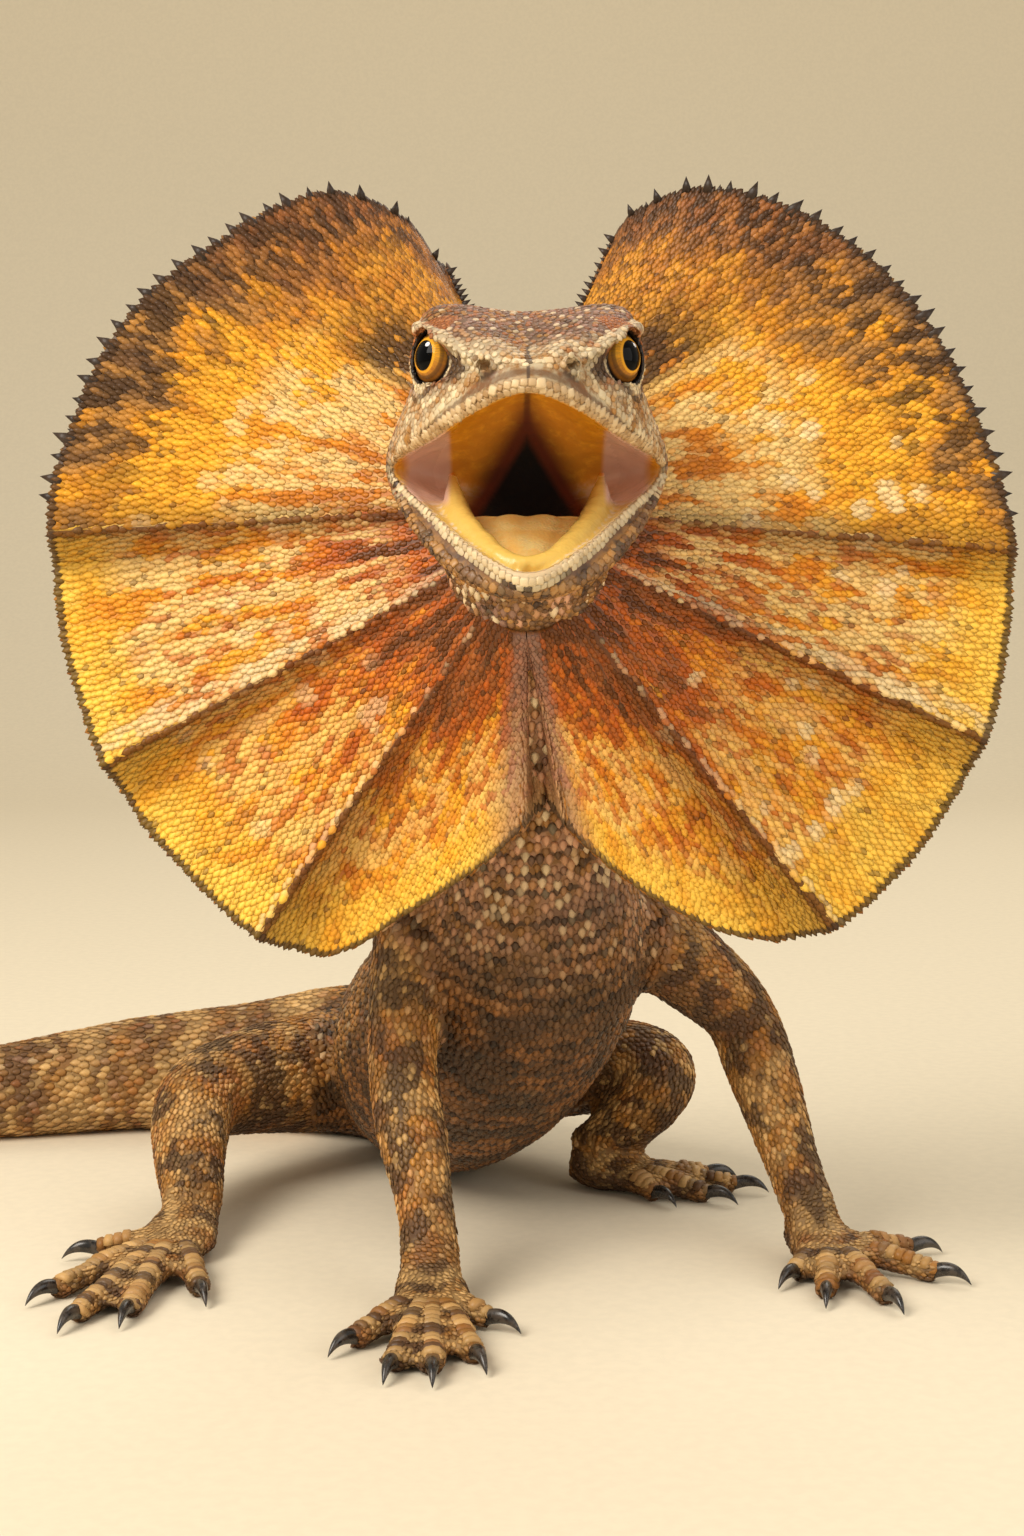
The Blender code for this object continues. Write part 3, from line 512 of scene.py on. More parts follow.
class Paint(Nodes):
    """The nodes of one finish, round its Principled shader."""

    def __init__(self, name, **sockets):
        material = bpy.data.materials.new(name)
        material.use_nodes = True
        super().__init__(material.node_tree)
        self.set(**sockets)

    def set(self, **sockets):
        """Wires or sets inputs of the shader; _ stands for a space in their names."""
        for key, value in sockets.items():
            self.wire(value, self.tree.nodes["Principled BSDF"].inputs[key.replace("_", " ")])

    def stored(self, name):
        """A stored vector, and its three parts."""
        vector = self.add("ShaderNodeAttribute", attribute_name=name).outputs["Vector"]
        return (vector, *self.add("ShaderNodeSeparateXYZ", vector).outputs)

    def stored_number(self, name):
        return self.add("ShaderNodeAttribute", attribute_name=name).outputs["Fac"]

    def place(self):
        return self.add("ShaderNodeTexCoord").outputs["Object"]

    def distance(self, place, point):
        return self.add("ShaderNodeVectorMath", place, point, operation="DISTANCE").outputs["Value"]

    def together(self, x, y, z=None):
        return self.add("ShaderNodeCombineXYZ", x, y, z).outputs[0]

    def noise(self, place, scale, detail=3.0, rough=0.55, twist=0.0):
        return self.add("ShaderNodeTexNoise",
                        named={"Vector": place, "Scale": scale, "Detail": detail,
                               "Roughness": rough, "Distortion": twist}).outputs[0]

    def cells(self, place, scale):
        """How far each place is from the middle of its cell."""
        return self.add("ShaderNodeTexVoronoi", named={"Vector": place, "Scale": scale}).outputs[0]

    def bump(self, height, strength, distance):
        return self.add("ShaderNodeBump", named={"Height": height, "Strength": strength,
                                                 "Distance": distance}).outputs[0]

    def blend(self, share, first, second):
        node = self.add("ShaderNodeMix", data_type="RGBA", clamp_factor=True)
        for index, value in ((0, share), (6, first), (7, second)):
            self.wire(value, node.inputs[index])
        return node.outputs[2]

    def laid(self, under, tone, share, *masks):
        """The tone over what is under it, by the share at most, where all the masks hold."""
        return self.blend(self.times(*masks, share), under, tone)

    def steps(self, value, stops, kind="LINEAR"):
        """A colour ramp from (place, colour) pairs."""
        node = self.add("ShaderNodeValToRGB", value)
        band = node.color_ramp
        band.interpolation = kind
        while len(band.elements) < len(stops):
            band.elements.new(0.5)
        for element, (place, tone) in zip(band.elements, stops):
            element.position = place
            element.color = (*colour(tone), 1.0)
        return node.outputs[0]

    def picked(self, fleck, stops):
        """One colour for each scale, from (share up to which it is picked, colour) pairs."""
        starts = [0.0, *(end for end, _ in stops)]
        return self.steps(fleck, [(start, tone) for start, (_, tone) in zip(starts, stops)], "CONSTANT")

    def varied(self, tone, fleck, amount):
        """Each scale a little lighter or darker than its neighbours."""
        level = self.ramp(fleck, 0.0, 1.0, 1 - amount, 1 + amount, "LINEAR")
        return self.add("ShaderNodeHueSaturation", named={"Value": level, "Color": tone}).outputs[0]


# Geometry Nodes

PATCH = 0.003
LIGHTEST, HEAVIEST = 0.86, 1.16


def scales_tree(name):
    """Scales set on points, each lying the way its point says, with their bake map and finish.

    The tree scale_coat scatters its points evenly over one region of a skin; any other takes a
    mesh of seats. A scale is sized by the spacing and keeps its root's place, its own random
    number and a small patch of the skin's unwrap.
    """
    n = Nodes(bpy.data.node_groups.new(name, "GeometryNodeTree"))
    for key, kind in (("Surface", "Geometry"), ("Spacing", "Float"), ("Region", "Float"), ("Seed", "Int"),
                      ("Scale shape", "Object"), ("Proportions", "Vector"), ("Finish", "Material")):
        n.tree.interface.new_socket(name=key, in_out="INPUT", socket_type="NodeSocket" + kind)
    n.tree.interface.new_socket(name="Coat", in_out="OUTPUT", socket_type="NodeSocketGeometry")
    have = n.tree.nodes.new("NodeGroupInput").outputs
    give = n.tree.nodes.new("NodeGroupOutput").inputs[0]
    spacing, seed = have["Spacing"], have["Seed"]
    if name == "scale_coat":
        away = n.maths("ABSOLUTE", n.minus(n.read("region", "FLOAT"), have["Region"]))
        spread = n.add("GeometryNodeDistributePointsOnFaces", distribute_method="POISSON",
                       named={"Mesh": have["Surface"], "Distance Min": spacing, "Seed": seed,
                              "Density Max": n.maths("DIVIDE", 3.2, n.times(spacing, spacing)),
                              "Density Factor": n.maths("LESS_THAN", away, 0.5)})
        points, stand = spread.outputs["Points"], spread.outputs["Normal"]
    else:
        points = n.add("GeometryNodeMeshToPoints", mode="VERTICES",
                       named={"Mesh": have["Surface"]}).outputs[0]
        stand = n.read("stand")
    points = n.keep(points, "root", n.add("GeometryNodeInputPosition").outputs[0], "FLOAT_VECTOR")
    turn = n.add("FunctionNodeAxesToRotation", stand, n.read("lie"), primary_axis="Z",
                 secondary_axis="Y").outputs[0]
    draw = n.add("FunctionNodeRandomValue", data_type="FLOAT")
    n.wire(seed, draw.inputs[8])
    points = n.keep(points, "fleck", draw.outputs[1], "FLOAT")
    vary = n.add("FunctionNodeRandomValue", data_type="FLOAT")
    for index, value in ((2, LIGHTEST), (3, HEAVIEST), (8, seed)):
        n.wire(value, vary.inputs[index])
    size = n.times(vary.outputs[1], spacing, n.read("size", "FLOAT"))
    model = n.add("GeometryNodeObjectInfo", named={"Object": have["Scale shape"]}).outputs["Geometry"]
    placed = n.add("GeometryNodeInstanceOnPoints",
                   named={"Points": points, "Instance": model, "Rotation": turn,
                          "Scale": n.vector("MULTIPLY", have["Proportions"], size)}).outputs[0]
    whole = n.add("GeometryNodeRealizeInstances", placed).outputs[0]
    patch = n.add("ShaderNodeVectorMath", n.read("tile"), operation="SCALE", named={"Scale": PATCH})
    baked = n.vector("ADD", n.read("root_map"), patch.outputs[0])
    whole = n.keep(whole, "OFBake", baked, "FLOAT2", "CORNER")
    whole = n.add("GeometryNodeSetShadeSmooth", named={"Geometry": whole}).outputs[0]
    whole = n.add("GeometryNodeSetMaterial",
                  named={"Geometry": whole, "Material": have["Finish"]}).outputs[0]
    n.wire(whole, give)
    return n.tree


def scaled(name, host, kind, model, proportions, look, **values):
    """The plain mesh object of scales that the tree of this kind makes from the host's mesh."""
    values |= {"Scale shape": shape(model), "Proportions": proportions, "Finish": finish(look)}
    modifier = host.modifiers.new("maker", "NODES")
    modifier.node_group = bpy.data.node_groups.get(kind) or scales_tree(kind)
    for item in modifier.node_group.interface.items_tree:
        if item.in_out == "INPUT" and item.name in values:
            modifier[item.identifier] = values[item.name]
    host.update_tag()
    mesh = plain_mesh(host)
    if not mesh.polygons:
        raise RuntimeError(f"{name} has no scales")
    mesh.name = name
    clear_materials(mesh)
    mesh.materials.append(values["Finish"])
    return linked(name, mesh)


def shape_object(name, points, faces):
    """A unit shape for the trees to repeat, with each point's place on its patch of the bake map."""
    obj = made(name, np.array(points, float) / MM, faces)
    flat = np.array(points, float)
    span = flat[:, :2].max(axis=0) - flat[:, :2].min(axis=0)
    tile = np.zeros((len(flat), 3))
    tile[:, :2] = (flat[:, :2] - flat[:, :2].min(axis=0)) / span
    note(obj.data, tile=tile)
    return obj


def keeled_scale():
    """A pointed scale with a keel, one spacing wide and long; its root is sunk, its tip lifts."""
    rim = [(0, -0.50, -0.05), (0.36, -0.34, 0.02), (0.50, 0.0, 0.06), (0.30, 0.36, 0.14),
           (0, 0.62, 0.24), (-0.30, 0.36, 0.14), (-0.50, 0.0, 0.06), (-0.36, -0.34, 0.02)]
    points = rim + [(0, -0.25, 0.20), (0, 0.18, 0.36), (0, 0.0, -0.25)]
    faces = [(0, 1, 8), (1, 2, 8), (2, 9, 8), (2, 3, 9), (3, 4, 9), (4, 5, 9), (5, 6, 9), (6, 8, 9),
             (6, 7, 8), (7, 0, 8)]
    faces += [(10, (k + 1) % 8, k) for k in range(8)]
    return shape_object("keeled_scale", points, faces)


def round_scale():
    """A low bead of a scale, one spacing across."""
    points, faces = [(0, 0, 0.34)], []
    for reach, rise in ((0.30, 0.27), (0.50, 0.0)):
        for k in range(7):
            a = 2 * math.pi * k / 7
            points.append((reach * math.cos(a), reach * math.sin(a), rise))
    points.append((0, 0, -0.25))
    for k in range(7):
        n = (k + 1) % 7
        faces += [(0, 1 + k, 1 + n), (1 + k, 8 + k, 8 + n), (1 + k, 8 + n, 1 + n), (8 + n, 8 + k, 15)]
    return shape_object("round_scale", points, faces)


def plate_scale(name="plate_scale", thick=0.30, arch=0.0):
    """A broad plate with rolled edges, one spacing wide and long; the arch bends it over a toe."""
    points, faces = [], []
    count = 5
    for i in range(count):
        for k in range(count):
            x, y = 2 * i / (count - 1) - 1, 2 * k / (count - 1) - 1
            rise = thick * (1 - x**4) * (1 - 0.8 * y**4)
            bend = 1 - 0.10 * x * x * y * y
            if max(abs(x), abs(y)) == 1:
                rise = -0.4 * thick
            points.append((0.5 * x * bend, 0.5 * y * bend, rise - arch * x * x))
    for i in range(count - 1):
        for k in range(count - 1):
            a = i * count + k
            faces.append((a, a + count, a + count + 1, a + 1))
    edge = [i * count for i in range(count)] + [(count - 1) * count + k for k in range(1, count)]
    edge += [i * count + count - 1 for i in range(count - 2, -1, -1)] + list(range(count - 2, 0, -1))
    points.append((0, 0, -0.3))
    last = len(points) - 1
    faces += [(last, a, b) for a, b in zip(edge, edge[1:] + edge[:1])]
    return shape_object(name, points, faces)


def toe_plate():
    """A thin plate that bends over a toe."""
    return plate_scale("toe_plate", 0.12, 0.2)


def shape(name):
    """The unit shape of this name, made the first time it is asked for."""
    if name not in bpy.data.objects:
        SHAPES[name]()
    return bpy.data.objects[name]


def scatter(name, skin, region, spacing, model, proportions, look):
    """One coat piece over one region of a skin."""
    coat = scaled(name, skin, "scale_coat", model, proportions, look, Spacing=spacing,
                  Region=float(region), Seed=scales().seed + region)
    above_floor(coat)
    present(coat)


def surface_of(obj):
    mesh = obj.data
    return BVHTree.FromPolygons([v.co for v in mesh.vertices], [p.vertices for p in mesh.polygons])


def above_floor(obj):
    points = points_of(obj.data)
    points[:, 2] = np.maximum(points[:, 2], LOWEST)
    put_points(obj.data, points)


def sit(seats, **values):
    """Adds one seat, or an array of them, to the lists of what seats hold."""
    for key, value in values.items():
        seats.setdefault(key, []).append(value)


def seat(name, seats, spacing, model, proportions, look):
    """One piece of scales, spines or plates on loose points that hold what the seats hold."""
    mesh = bpy.data.meshes.new("seats")
    mesh.from_pydata([tuple(p) for p in seats.pop("seat")], [], [])
    note(mesh, **seats)
    host = linked("seats", mesh)
    coat = scaled(name, host, "seated_scales", model, proportions, look, Spacing=spacing,
                  Seed=scales().seed)
    bpy.data.objects.remove(host)
    present(coat)


# Body skin

# The regions that the skins' points hold, for the scales, and the random number that a skin has
# in place of its scales' own.
TRUNK, TAIL, LEG, FOOT = 0, 1, 2, 3
FACE, NAPE, LIPS, LIDS, SOCKET = 10, 11, 12, 13, 14
MIDDLE_FLECK = 0.5
# Plates on a toe: where they start and how far before its tip they end, the gap from one to the
# next, the height they are sought from and the highest they may lie, in millimetres.
TOE_START, TOE_END, TOE_GAP = 13.0, 10.5, 2.2
TOE_ABOVE, TOE_HIGHEST = 24, 14.5


def nearest_on(points, path):
    """For each point: distance to the path, distance run along it, and the path's way there."""
    path = np.array(path, float)
    starts, ends = path[:-1], path[1:]
    spans = ends - starts
    lengths = np.linalg.norm(spans, axis=1)
    run = np.concatenate([[0], np.cumsum(lengths)[:-1]])
    away = points[:, None, :] - starts[None]
    share = np.clip((away * spans[None]).sum(axis=2) / lengths**2, 0, 1)
    gaps = np.linalg.norm(away - share[..., None] * spans[None], axis=2)
    best = gaps.argmin(axis=1)
    row = np.arange(len(points))
    ways = spline(np.gradient(path, axis=0), 1)
    ways /= np.linalg.norm(ways, axis=1)[:, None]
    part = share[row, best][:, None]
    way = ways[best] * (1 - part) + ways[np.minimum(best + 1, len(path) - 1)] * part
    return gaps[row, best], run[best] + share[row, best] * lengths[best], way


def labels_of(points):
    """The number in FLESH of the node that each point lies nearest."""
    count = sum(len(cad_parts[node].data.vertices) for node in FLESH)
    tree = KDTree(count)
    owners = []
    for index, node in enumerate(FLESH):
        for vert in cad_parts[node].data.vertices:
            tree.insert(vert.co, len(owners))
            owners.append(index)
    tree.balance()
    return np.array([owners[tree.find(p)[1]] for p in points])


def note_skin(mesh, lie, place, region):
    """Stores what the scales and the finish read from a skin's points."""
    points = points_of(mesh)
    note(mesh, lie=lie, place=place, root=points, region=region, size=np.ones(len(points)),
         fleck=np.full(len(points), MIDDLE_FLECK))


def note_body(skin):
    """Stores the region, the lie, the place along the body or leg, and the root on each point."""
    mesh = skin.data
    points = points_of(mesh)
    names = np.array(FLESH)[labels_of(points)]
    region = np.zeros(len(points))
    place = np.zeros((len(points), 3))
    _, run, lie = nearest_on(points / MM, TRUNK_PATH)
    place[:, 0] = run * MM
    region[np.char.startswith(names, "tail")] = TAIL
    for index, leg in enumerate(("foreleg_right", "foreleg_left", "hindleg_right", "hindleg_left")):
        mine = names == leg
        _, run, lie[mine] = nearest_on(points[mine] / MM, LEG_PATHS[index])
        place[mine, 0] = run * MM
        region[mine] = LEG
    for foot, (palm, tips) in FEET.items():
        mine = names == foot
        here = points[mine] / MM
        best = np.full(len(here), 1e9)
        way = np.zeros((len(here), 3))
        run = np.zeros(len(here))
        for tip in tips:
            line = [(palm[0], palm[1], 5), (palm[0] + tip[0], palm[1] + tip[1], 3)]
            gap, along, _ = nearest_on(here, line)
            closer = gap < best
            best[closer] = gap[closer]
            run[closer] = along[closer]
            way[closer] = np.array([tip[0], tip[1], -2]) / np.hypot(*tip)
        lie[mine] = way
        place[mine, 0] = run * MM
        region[mine] = FOOT
    kind = np.where(region == TAIL, -1.0, np.maximum(region - 1, 0))
    place[:, 1] = softened(mesh, kind, 5)
    place[:, 2] = points_of(mesh, "normal")[:, 2]
    note_skin(mesh, lie, place, region)


def softened(mesh, values, times):
    """The values, each mixed with its neighbours' so many times."""
    ends = np.empty(2 * len(mesh.edges), np.int32)
    mesh.edges.foreach_get("vertices", ends)
    first, second = ends.reshape(-1, 2).T
    count = np.bincount(ends, minlength=len(values)) + 1.0
    for _ in range(times):
        total = values + np.bincount(first, values[second], len(values))
        values = (total + np.bincount(second, values[first], len(values))) / count
    return values


def wave(points, frequency, seed):
    """A cheap smooth noise from -1 to 1: a sum of turned sine waves, the same on each run."""
    draw = np.random.default_rng(seed)
    total = np.zeros(len(points))
    size = 0.0
    for octave in range(3):
        for _ in range(5):
            way = draw.normal(size=3)
            way *= frequency * 2**octave / np.linalg.norm(way)
            total += np.sin(points @ way + draw.uniform(0, 6.3)) * 0.5**octave
        size += 2.2 * 0.5**octave
    return total / size


def fold_body(skin):
    """Presses in the skin's folds: across the neck and flanks, and behind each bent joint."""
    mesh = skin.data
    points = points_of(mesh) / MM
    normals = points_of(mesh, "normal")
    _, run, _ = nearest_on(points, TRUNK_PATH)
    near = np.exp(-((run - 75) / 60.0) ** 2) + 0.55 * np.exp(-((run - 215) / 70.0) ** 2)
    bend = wave(points, 0.12, 3) * 7
    ridges = np.abs(np.sin((run + bend) * math.pi / 7.5))
    depth = 0.55 * near * (1 - ridges) ** 2
    lumps = 0.28 * wave(points, 0.35, 8)
    for path in LEG_PATHS:
        gap, run, _ = nearest_on(points, path)
        legs = np.exp(-(gap / 16.0) ** 2)
        fold = np.abs(np.sin((run + wave(points, 0.2, 5) * 4) * math.pi / 5.0))
        depth += 0.30 * legs * (1 - fold) ** 2
    inset = 0.30 + depth - lumps * 0.5
    put_points(mesh, (points - normals * np.clip(inset, 0.12, 1.4)[:, None]) * MM)


class MakeBodySkin(bpy.types.Operator):
    """Lays one skin over the neck, trunk, tail, legs and feet"""
    bl_idname = "lizard.body_skin"
    bl_label = "Body skin"

    def execute(self, context):
        skin = joined("skin_body", [copy_of(node, BODY_GROWTH) for node in FLESH])
        use(skin, "REMESH", mode="VOXEL", voxel_size=sizes().body_voxel, adaptivity=0.0)
        use(skin, "SMOOTH", iterations=3, factor=0.5)
        settle(skin)
        fold_body(skin)
        above_floor(skin)
        note_body(skin)
        unwrap(skin)
        dress(skin, "body_skin", FLESH)
        return {"FINISHED"}


class MakeBodyScales(bpy.types.Operator):
    """Covers the body skin with keeled scales that lie away from the head"""
    bl_idname = "lizard.body_scales"
    bl_label = "Body scales"

    def execute(self, context):
        skin = bpy.data.objects["skin_body"]
        rows = (("scales_trunk", TRUNK, scales().trunk), ("scales_tail", TAIL, scales().tail),
                ("scales_legs", LEG, scales().legs), ("scales_feet", FOOT, scales().feet))
        for name, region, spacing in rows:
            scatter(name, skin, region, spacing, "keeled_scale", (1.22, 1.55, 0.62), "body_scales")
        self.toes(skin)
        return {"FINISHED"}

    def toes(self, skin):
        """Broad plates across the top of each toe, from its root to its claw."""
        surface = surface_of(skin)
        seats = {}
        for foot, (palm, tips) in enumerate(FEET.values()):
            for toe, tip in enumerate(tips):
                way = Vector((*tip, 0))
                start, end = TOE_START, way.length - TOE_END
                way.normalize()
                count = int((end - start) / TOE_GAP)
                for k in range(count):
                    part = (k + 0.5) / count
                    along = start + (end - start) * part
                    above = Vector((palm[0] + way.x * along, palm[1] + way.y * along, TOE_ABOVE)) * MM
                    place, stand, _, _ = surface.ray_cast(above, Vector((0, 0, -1)))
                    if place is None or place.z > TOE_HIGHEST * MM:
                        continue
                    stand = (stand + Vector((0, 0, 1))).normalized()
                    sit(seats, seat=place, stand=stand, lie=(way - stand * way.dot(stand)).normalized(),
                        root_map=(0.02 + toe * 0.03 + foot * 0.2, 0.9 + 0.08 * k / count, 0),
                        size=0.0070 - 0.0012 * part, place=(along * MM, FOOT, 1.0))
        seat("scales_toes", seats, 1.0, "toe_plate", (1.0, 0.46, 1.0), "body_scales")


# Head skin and mouth

def head_place(side, ahead, up):
    """A place on the head, in millimetres."""
    return (HEAD_CENTRE[0] + side, HEAD_CENTRE[1] - ahead, HEAD_CENTRE[2] + up)


def head_ring(index, count):
    """One ring's points round the head, from the top through the left side and back."""
    top, brow, cheek, side, bottom = HEAD_RINGS[index]
    low = []
    for share, ahead, down in LIP_LOW if index >= FIRST_LIP_RING else CHEEK_LOW:
        low.append((side[0] * share, side[1] + (bottom[0] - side[1]) * ahead,
                    side[2] + (bottom[1] - side[2]) * down))
    left = [(0, *top), brow, cheek, side, *low, (0, *bottom)]
    loop = left + [(-x, f, u) for x, f, u in left[-2:0:-1]]
    return spline(loop, count, closed=True)


def head_grid(around, along):
    """The head's rings, run smoothly into one another: an array of rings, sides and 3."""
    rings = np.array([head_ring(index, around) for index in range(len(HEAD_RINGS))])
    flat = spline(rings.reshape(len(rings), -1), along)
    return flat.reshape(-1, rings.shape[1], 3)


def grid_places(grid):
    return np.array(HEAD_CENTRE) + grid * np.array([1, -1, 1])


def look_turn(side, look=EYE_LOOK):
    """The turn that points an eye's or a nostril's own Z outwards."""
    return Vector((side * look[0], -look[1], look[2])).to_track_quat("Z", "Y")


def eye_middle(side):
    return Vector(head_place(side * EYE_CENTRE[0], *EYE_CENTRE[1:]))


def ring_round(name, middle, turn, reach, thick, tall=1.0, sides=10, around=40):
    """A ring lying across the turn's Z."""
    points = []
    for i in range(around):
        a = 2 * math.pi * i / around
        for k in range(sides):
            b = 2 * math.pi * k / sides
            out = reach + thick * math.cos(b)
            points.append(middle + turn @ Vector((out * math.cos(a), out * math.sin(a) * tall,
                                                  thick * math.sin(b))))
    faces = []
    for i in range(around):
        for k in range(sides):
            n, m = (i + 1) % around, (k + 1) % sides
            faces.append((i * sides + k, n * sides + k, n * sides + m, i * sides + m))
    return made(name, points, faces)


def worm(name, path, thick, sides=10, count=6):
    """A round bar along a path of points; its size is given at each point."""
    line = spline(path, count)
    reach = spline([[size] for size in thick], count)[:, 0]
    points = []
    for i, (middle, size) in enumerate(zip(line, reach)):
        way = Vector(line[min(i + 1, len(line) - 1)] - line[max(i - 1, 0)]).normalized()
        across = way.cross(Vector((0.1, 0.2, 1))).normalized()
        rise = across.cross(way)
        for k in range(sides):
            a = 2 * math.pi * k / sides
            points.append(Vector(middle) + (across * math.cos(a) + rise * math.sin(a)) * size)
    return tube(name, points, sides)


def ball(name, middle, reach, turn=None, squash=(1, 1, 1), segments=32, rings=20):
    """A ball as a mesh of quads and two fans."""
    turn = turn or Matrix.Identity(3).to_quaternion()
    points = []
    for i in range(1, rings):
        a = math.pi * i / rings
        for k in range(segments):
            b = 2 * math.pi * k / segments
            p = Vector((math.sin(a) * math.cos(b) * squash[0], math.sin(a) * math.sin(b) * squash[1],
                        math.cos(a) * squash[2]))
            points.append(Vector(middle) + turn @ (p * reach))
    north = Vector(middle) + turn @ Vector((0, 0, reach * squash[2]))
    south = Vector(middle) - turn @ Vector((0, 0, reach * squash[2]))
    return made(name, points + [north, south], ring_faces(rings - 1, segments))


def head_form():
    """Skull, jaws, lining, lids, brows, gums and neck, fused."""
    grid = grid_places(head_grid(8, 7))
    pieces = [tube("head", grid.reshape(-1, 3), grid.shape[1])]
    for side in (1, -1):
        turn = look_turn(side)
        lid = eye_middle(side) + turn @ Vector((0, 0, 4.6))
        pieces.append(ring_round("lid", lid, turn, 6.9, 1.25, 1.04))
        brow = [head_place(side * x, f, u) for x, f, u in BROW_PATH]
        pieces.append(worm("brow", brow, (0.7, 1.6, 2.2, 2.2, 1.7, 0.9)))
        gum = [head_place(side * x, f, u) for x, f, u in GUM_PATH]
        pieces.append(worm("gum", gum, (0.9, 2.8, 3.5, 3.5, 3.0, 2.6)))
        nose = head_place(side * 9.6, 42.6, 19.4)
        pieces.append(ring_round("nose", Vector(nose), look_turn(side, NOSTRIL_LOOK), 2.0, 0.75, 1.0, 8, 20))
    pieces.append(copy_of("neck", NECK_GROWTH))
    whole = joined("skin_head", pieces)
    use(whole, "REMESH", mode="VOXEL", voxel_size=sizes().head_voxel, adaptivity=0.0)
    use(whole, "SMOOTH", iterations=2, factor=0.5)
    return settle(whole)


def on_rings(points):
    """Where each point lies on the head: its ring, its turn from 0 at the top to 6, and its gap."""
    grid = head_grid(10, 10)
    around = grid.shape[1]
    places = grid_places(grid).reshape(-1, 3)
    tree = KDTree(len(places))
    for i, p in enumerate(places):
        tree.insert(p, i)
    tree.balance()
    found = [tree.find(p)[1:] for p in points]
    near, gap = (np.array(values) for values in zip(*found))
    turn = near % around / 10.0
    return near // around / 10.0, np.where(turn > 6, 12 - turn, turn), gap


def note_head(skin):
    """Stores where each point lies on the head's rings and round them, and the way scales lie."""
    mesh = skin.data
    points = points_of(mesh)
    ring, turn, gap = on_rings(points / MM)
    head = points / MM - np.array(HEAD_CENTRE)
    side, ahead, up = head[:, 0], -head[:, 1], head[:, 2]
    place = np.stack([ring, turn, gap], axis=1)
    lie = np.stack([side * 0.012, np.ones(len(points)), np.full(len(points), 0.35)], axis=1)
    neck = (gap > 2.2) & (ahead < -20)
    place[neck, 0] = 0.0
    region = np.where(ring < FACE_END, FACE, LIPS).astype(float)
    region[(ring < FACE_END) & (ahead < NAPE_AHEAD)] = NAPE
    face = np.zeros((len(points), 3))
    folded = np.stack([np.abs(side), ahead, up], axis=1)
    face[:, 0] = nearest_on(folded, BROW_PATH)[0]
    face[:, 1] = nearest_on(folded, BAND_PATH)[0]
    face[:, 2] = np.linalg.norm(folded - np.array(NOSTRIL_RING), axis=1)
    note(mesh, face=face)
    eyes = np.minimum(*[np.linalg.norm(points / MM - np.array(eye_middle(s)), axis=1) for s in (1, -1)])
    region[(region < LIPS) & (eyes < LID_REACH)] = LIDS
    region[eyes < SOCKET_REACH] = SOCKET
    note_skin(mesh, lie, place, region)


def fold_head(skin):
    """Sets the head skin in by the scales' depth and works in its wrinkles and lip lobes."""
    mesh = skin.data
    points = points_of(mesh) / MM
    normals = points_of(mesh, "normal")
    ring, _, _ = on_rings(points)
    outer = np.clip((8.2 - ring) / 1.0, 0, 1)
    lining = np.clip((ring - 10.4) / 1.0, 0, 1)
    wrinkle = wave(points * np.array([1, 1, 1.6]), 0.45, 12)
    inset = 0.26 * outer + 0.10 * wrinkle * outer + 0.05
    inset += lining * 0.30 * np.abs(wave(points * np.array([0.6, 1, 1]), 0.55, 21)) ** 0.7
    put_points(mesh, (points - normals * inset[:, None]) * MM)


class MakeHeadSkin(bpy.types.Operator):
    """Makes the head's skin with its lids, brows, nostrils, ears, lips, gums and mouth lining"""
    bl_idname = "lizard.head_skin"
    bl_label = "Head skin"

    def execute(self, context):
        skin = head_form()
        tools = []
        for side in (1, -1):
            turn = look_turn(side)
            eye = eye_middle(side)
            tools.append(ball("socket", eye, EYE_RADIUS + 0.12, turn))
            tools.append(ball("opening", eye + turn @ Vector((0, 0, 6.4)), 6.1, turn, (1.0, 1.04, 1.4)))
            hollow = [head_place(side * x, f, u) for x, f, u in
                      ((23.4, 22.5, 20.6), (22.0, 28.0, 21.4), (18.2, 35.0, 20.4), (14.2, 41.0, 19.0))]
            tools.append(worm("hollow", hollow, (4.6, 5.0, 3.6, 1.4), 14))
            nostril = head_place(side * 9.7, 42.8, 19.4)
            tools.append(ball("nostril", nostril, 1.45, look_turn(side, NOSTRIL_LOOK), (1.25, 0.9, 2.0),
                              16, 10))
            tools.append(ball("ear", head_place(side * EAR[0], *EAR[1:]), 5.2, None, (0.5, 0.9, 1.15),
                              24, 14))
        cut(skin, tools)
        top = Vector((0, *FRILL_ROOT_TOP))
        bottom = Vector((0, *FRILL_ROOT_BOTTOM))
        slope = (top - bottom).normalized()
        way = Vector((0, -slope.z, slope.y))
        keep_side(skin, (bottom - way * 3.0) * MM, way)
        fold_head(skin)
        note_head(skin)
        unwrap(skin)
        dress(skin, "head_skin", ["head", "jaw"])
        return {"FINISHED"}


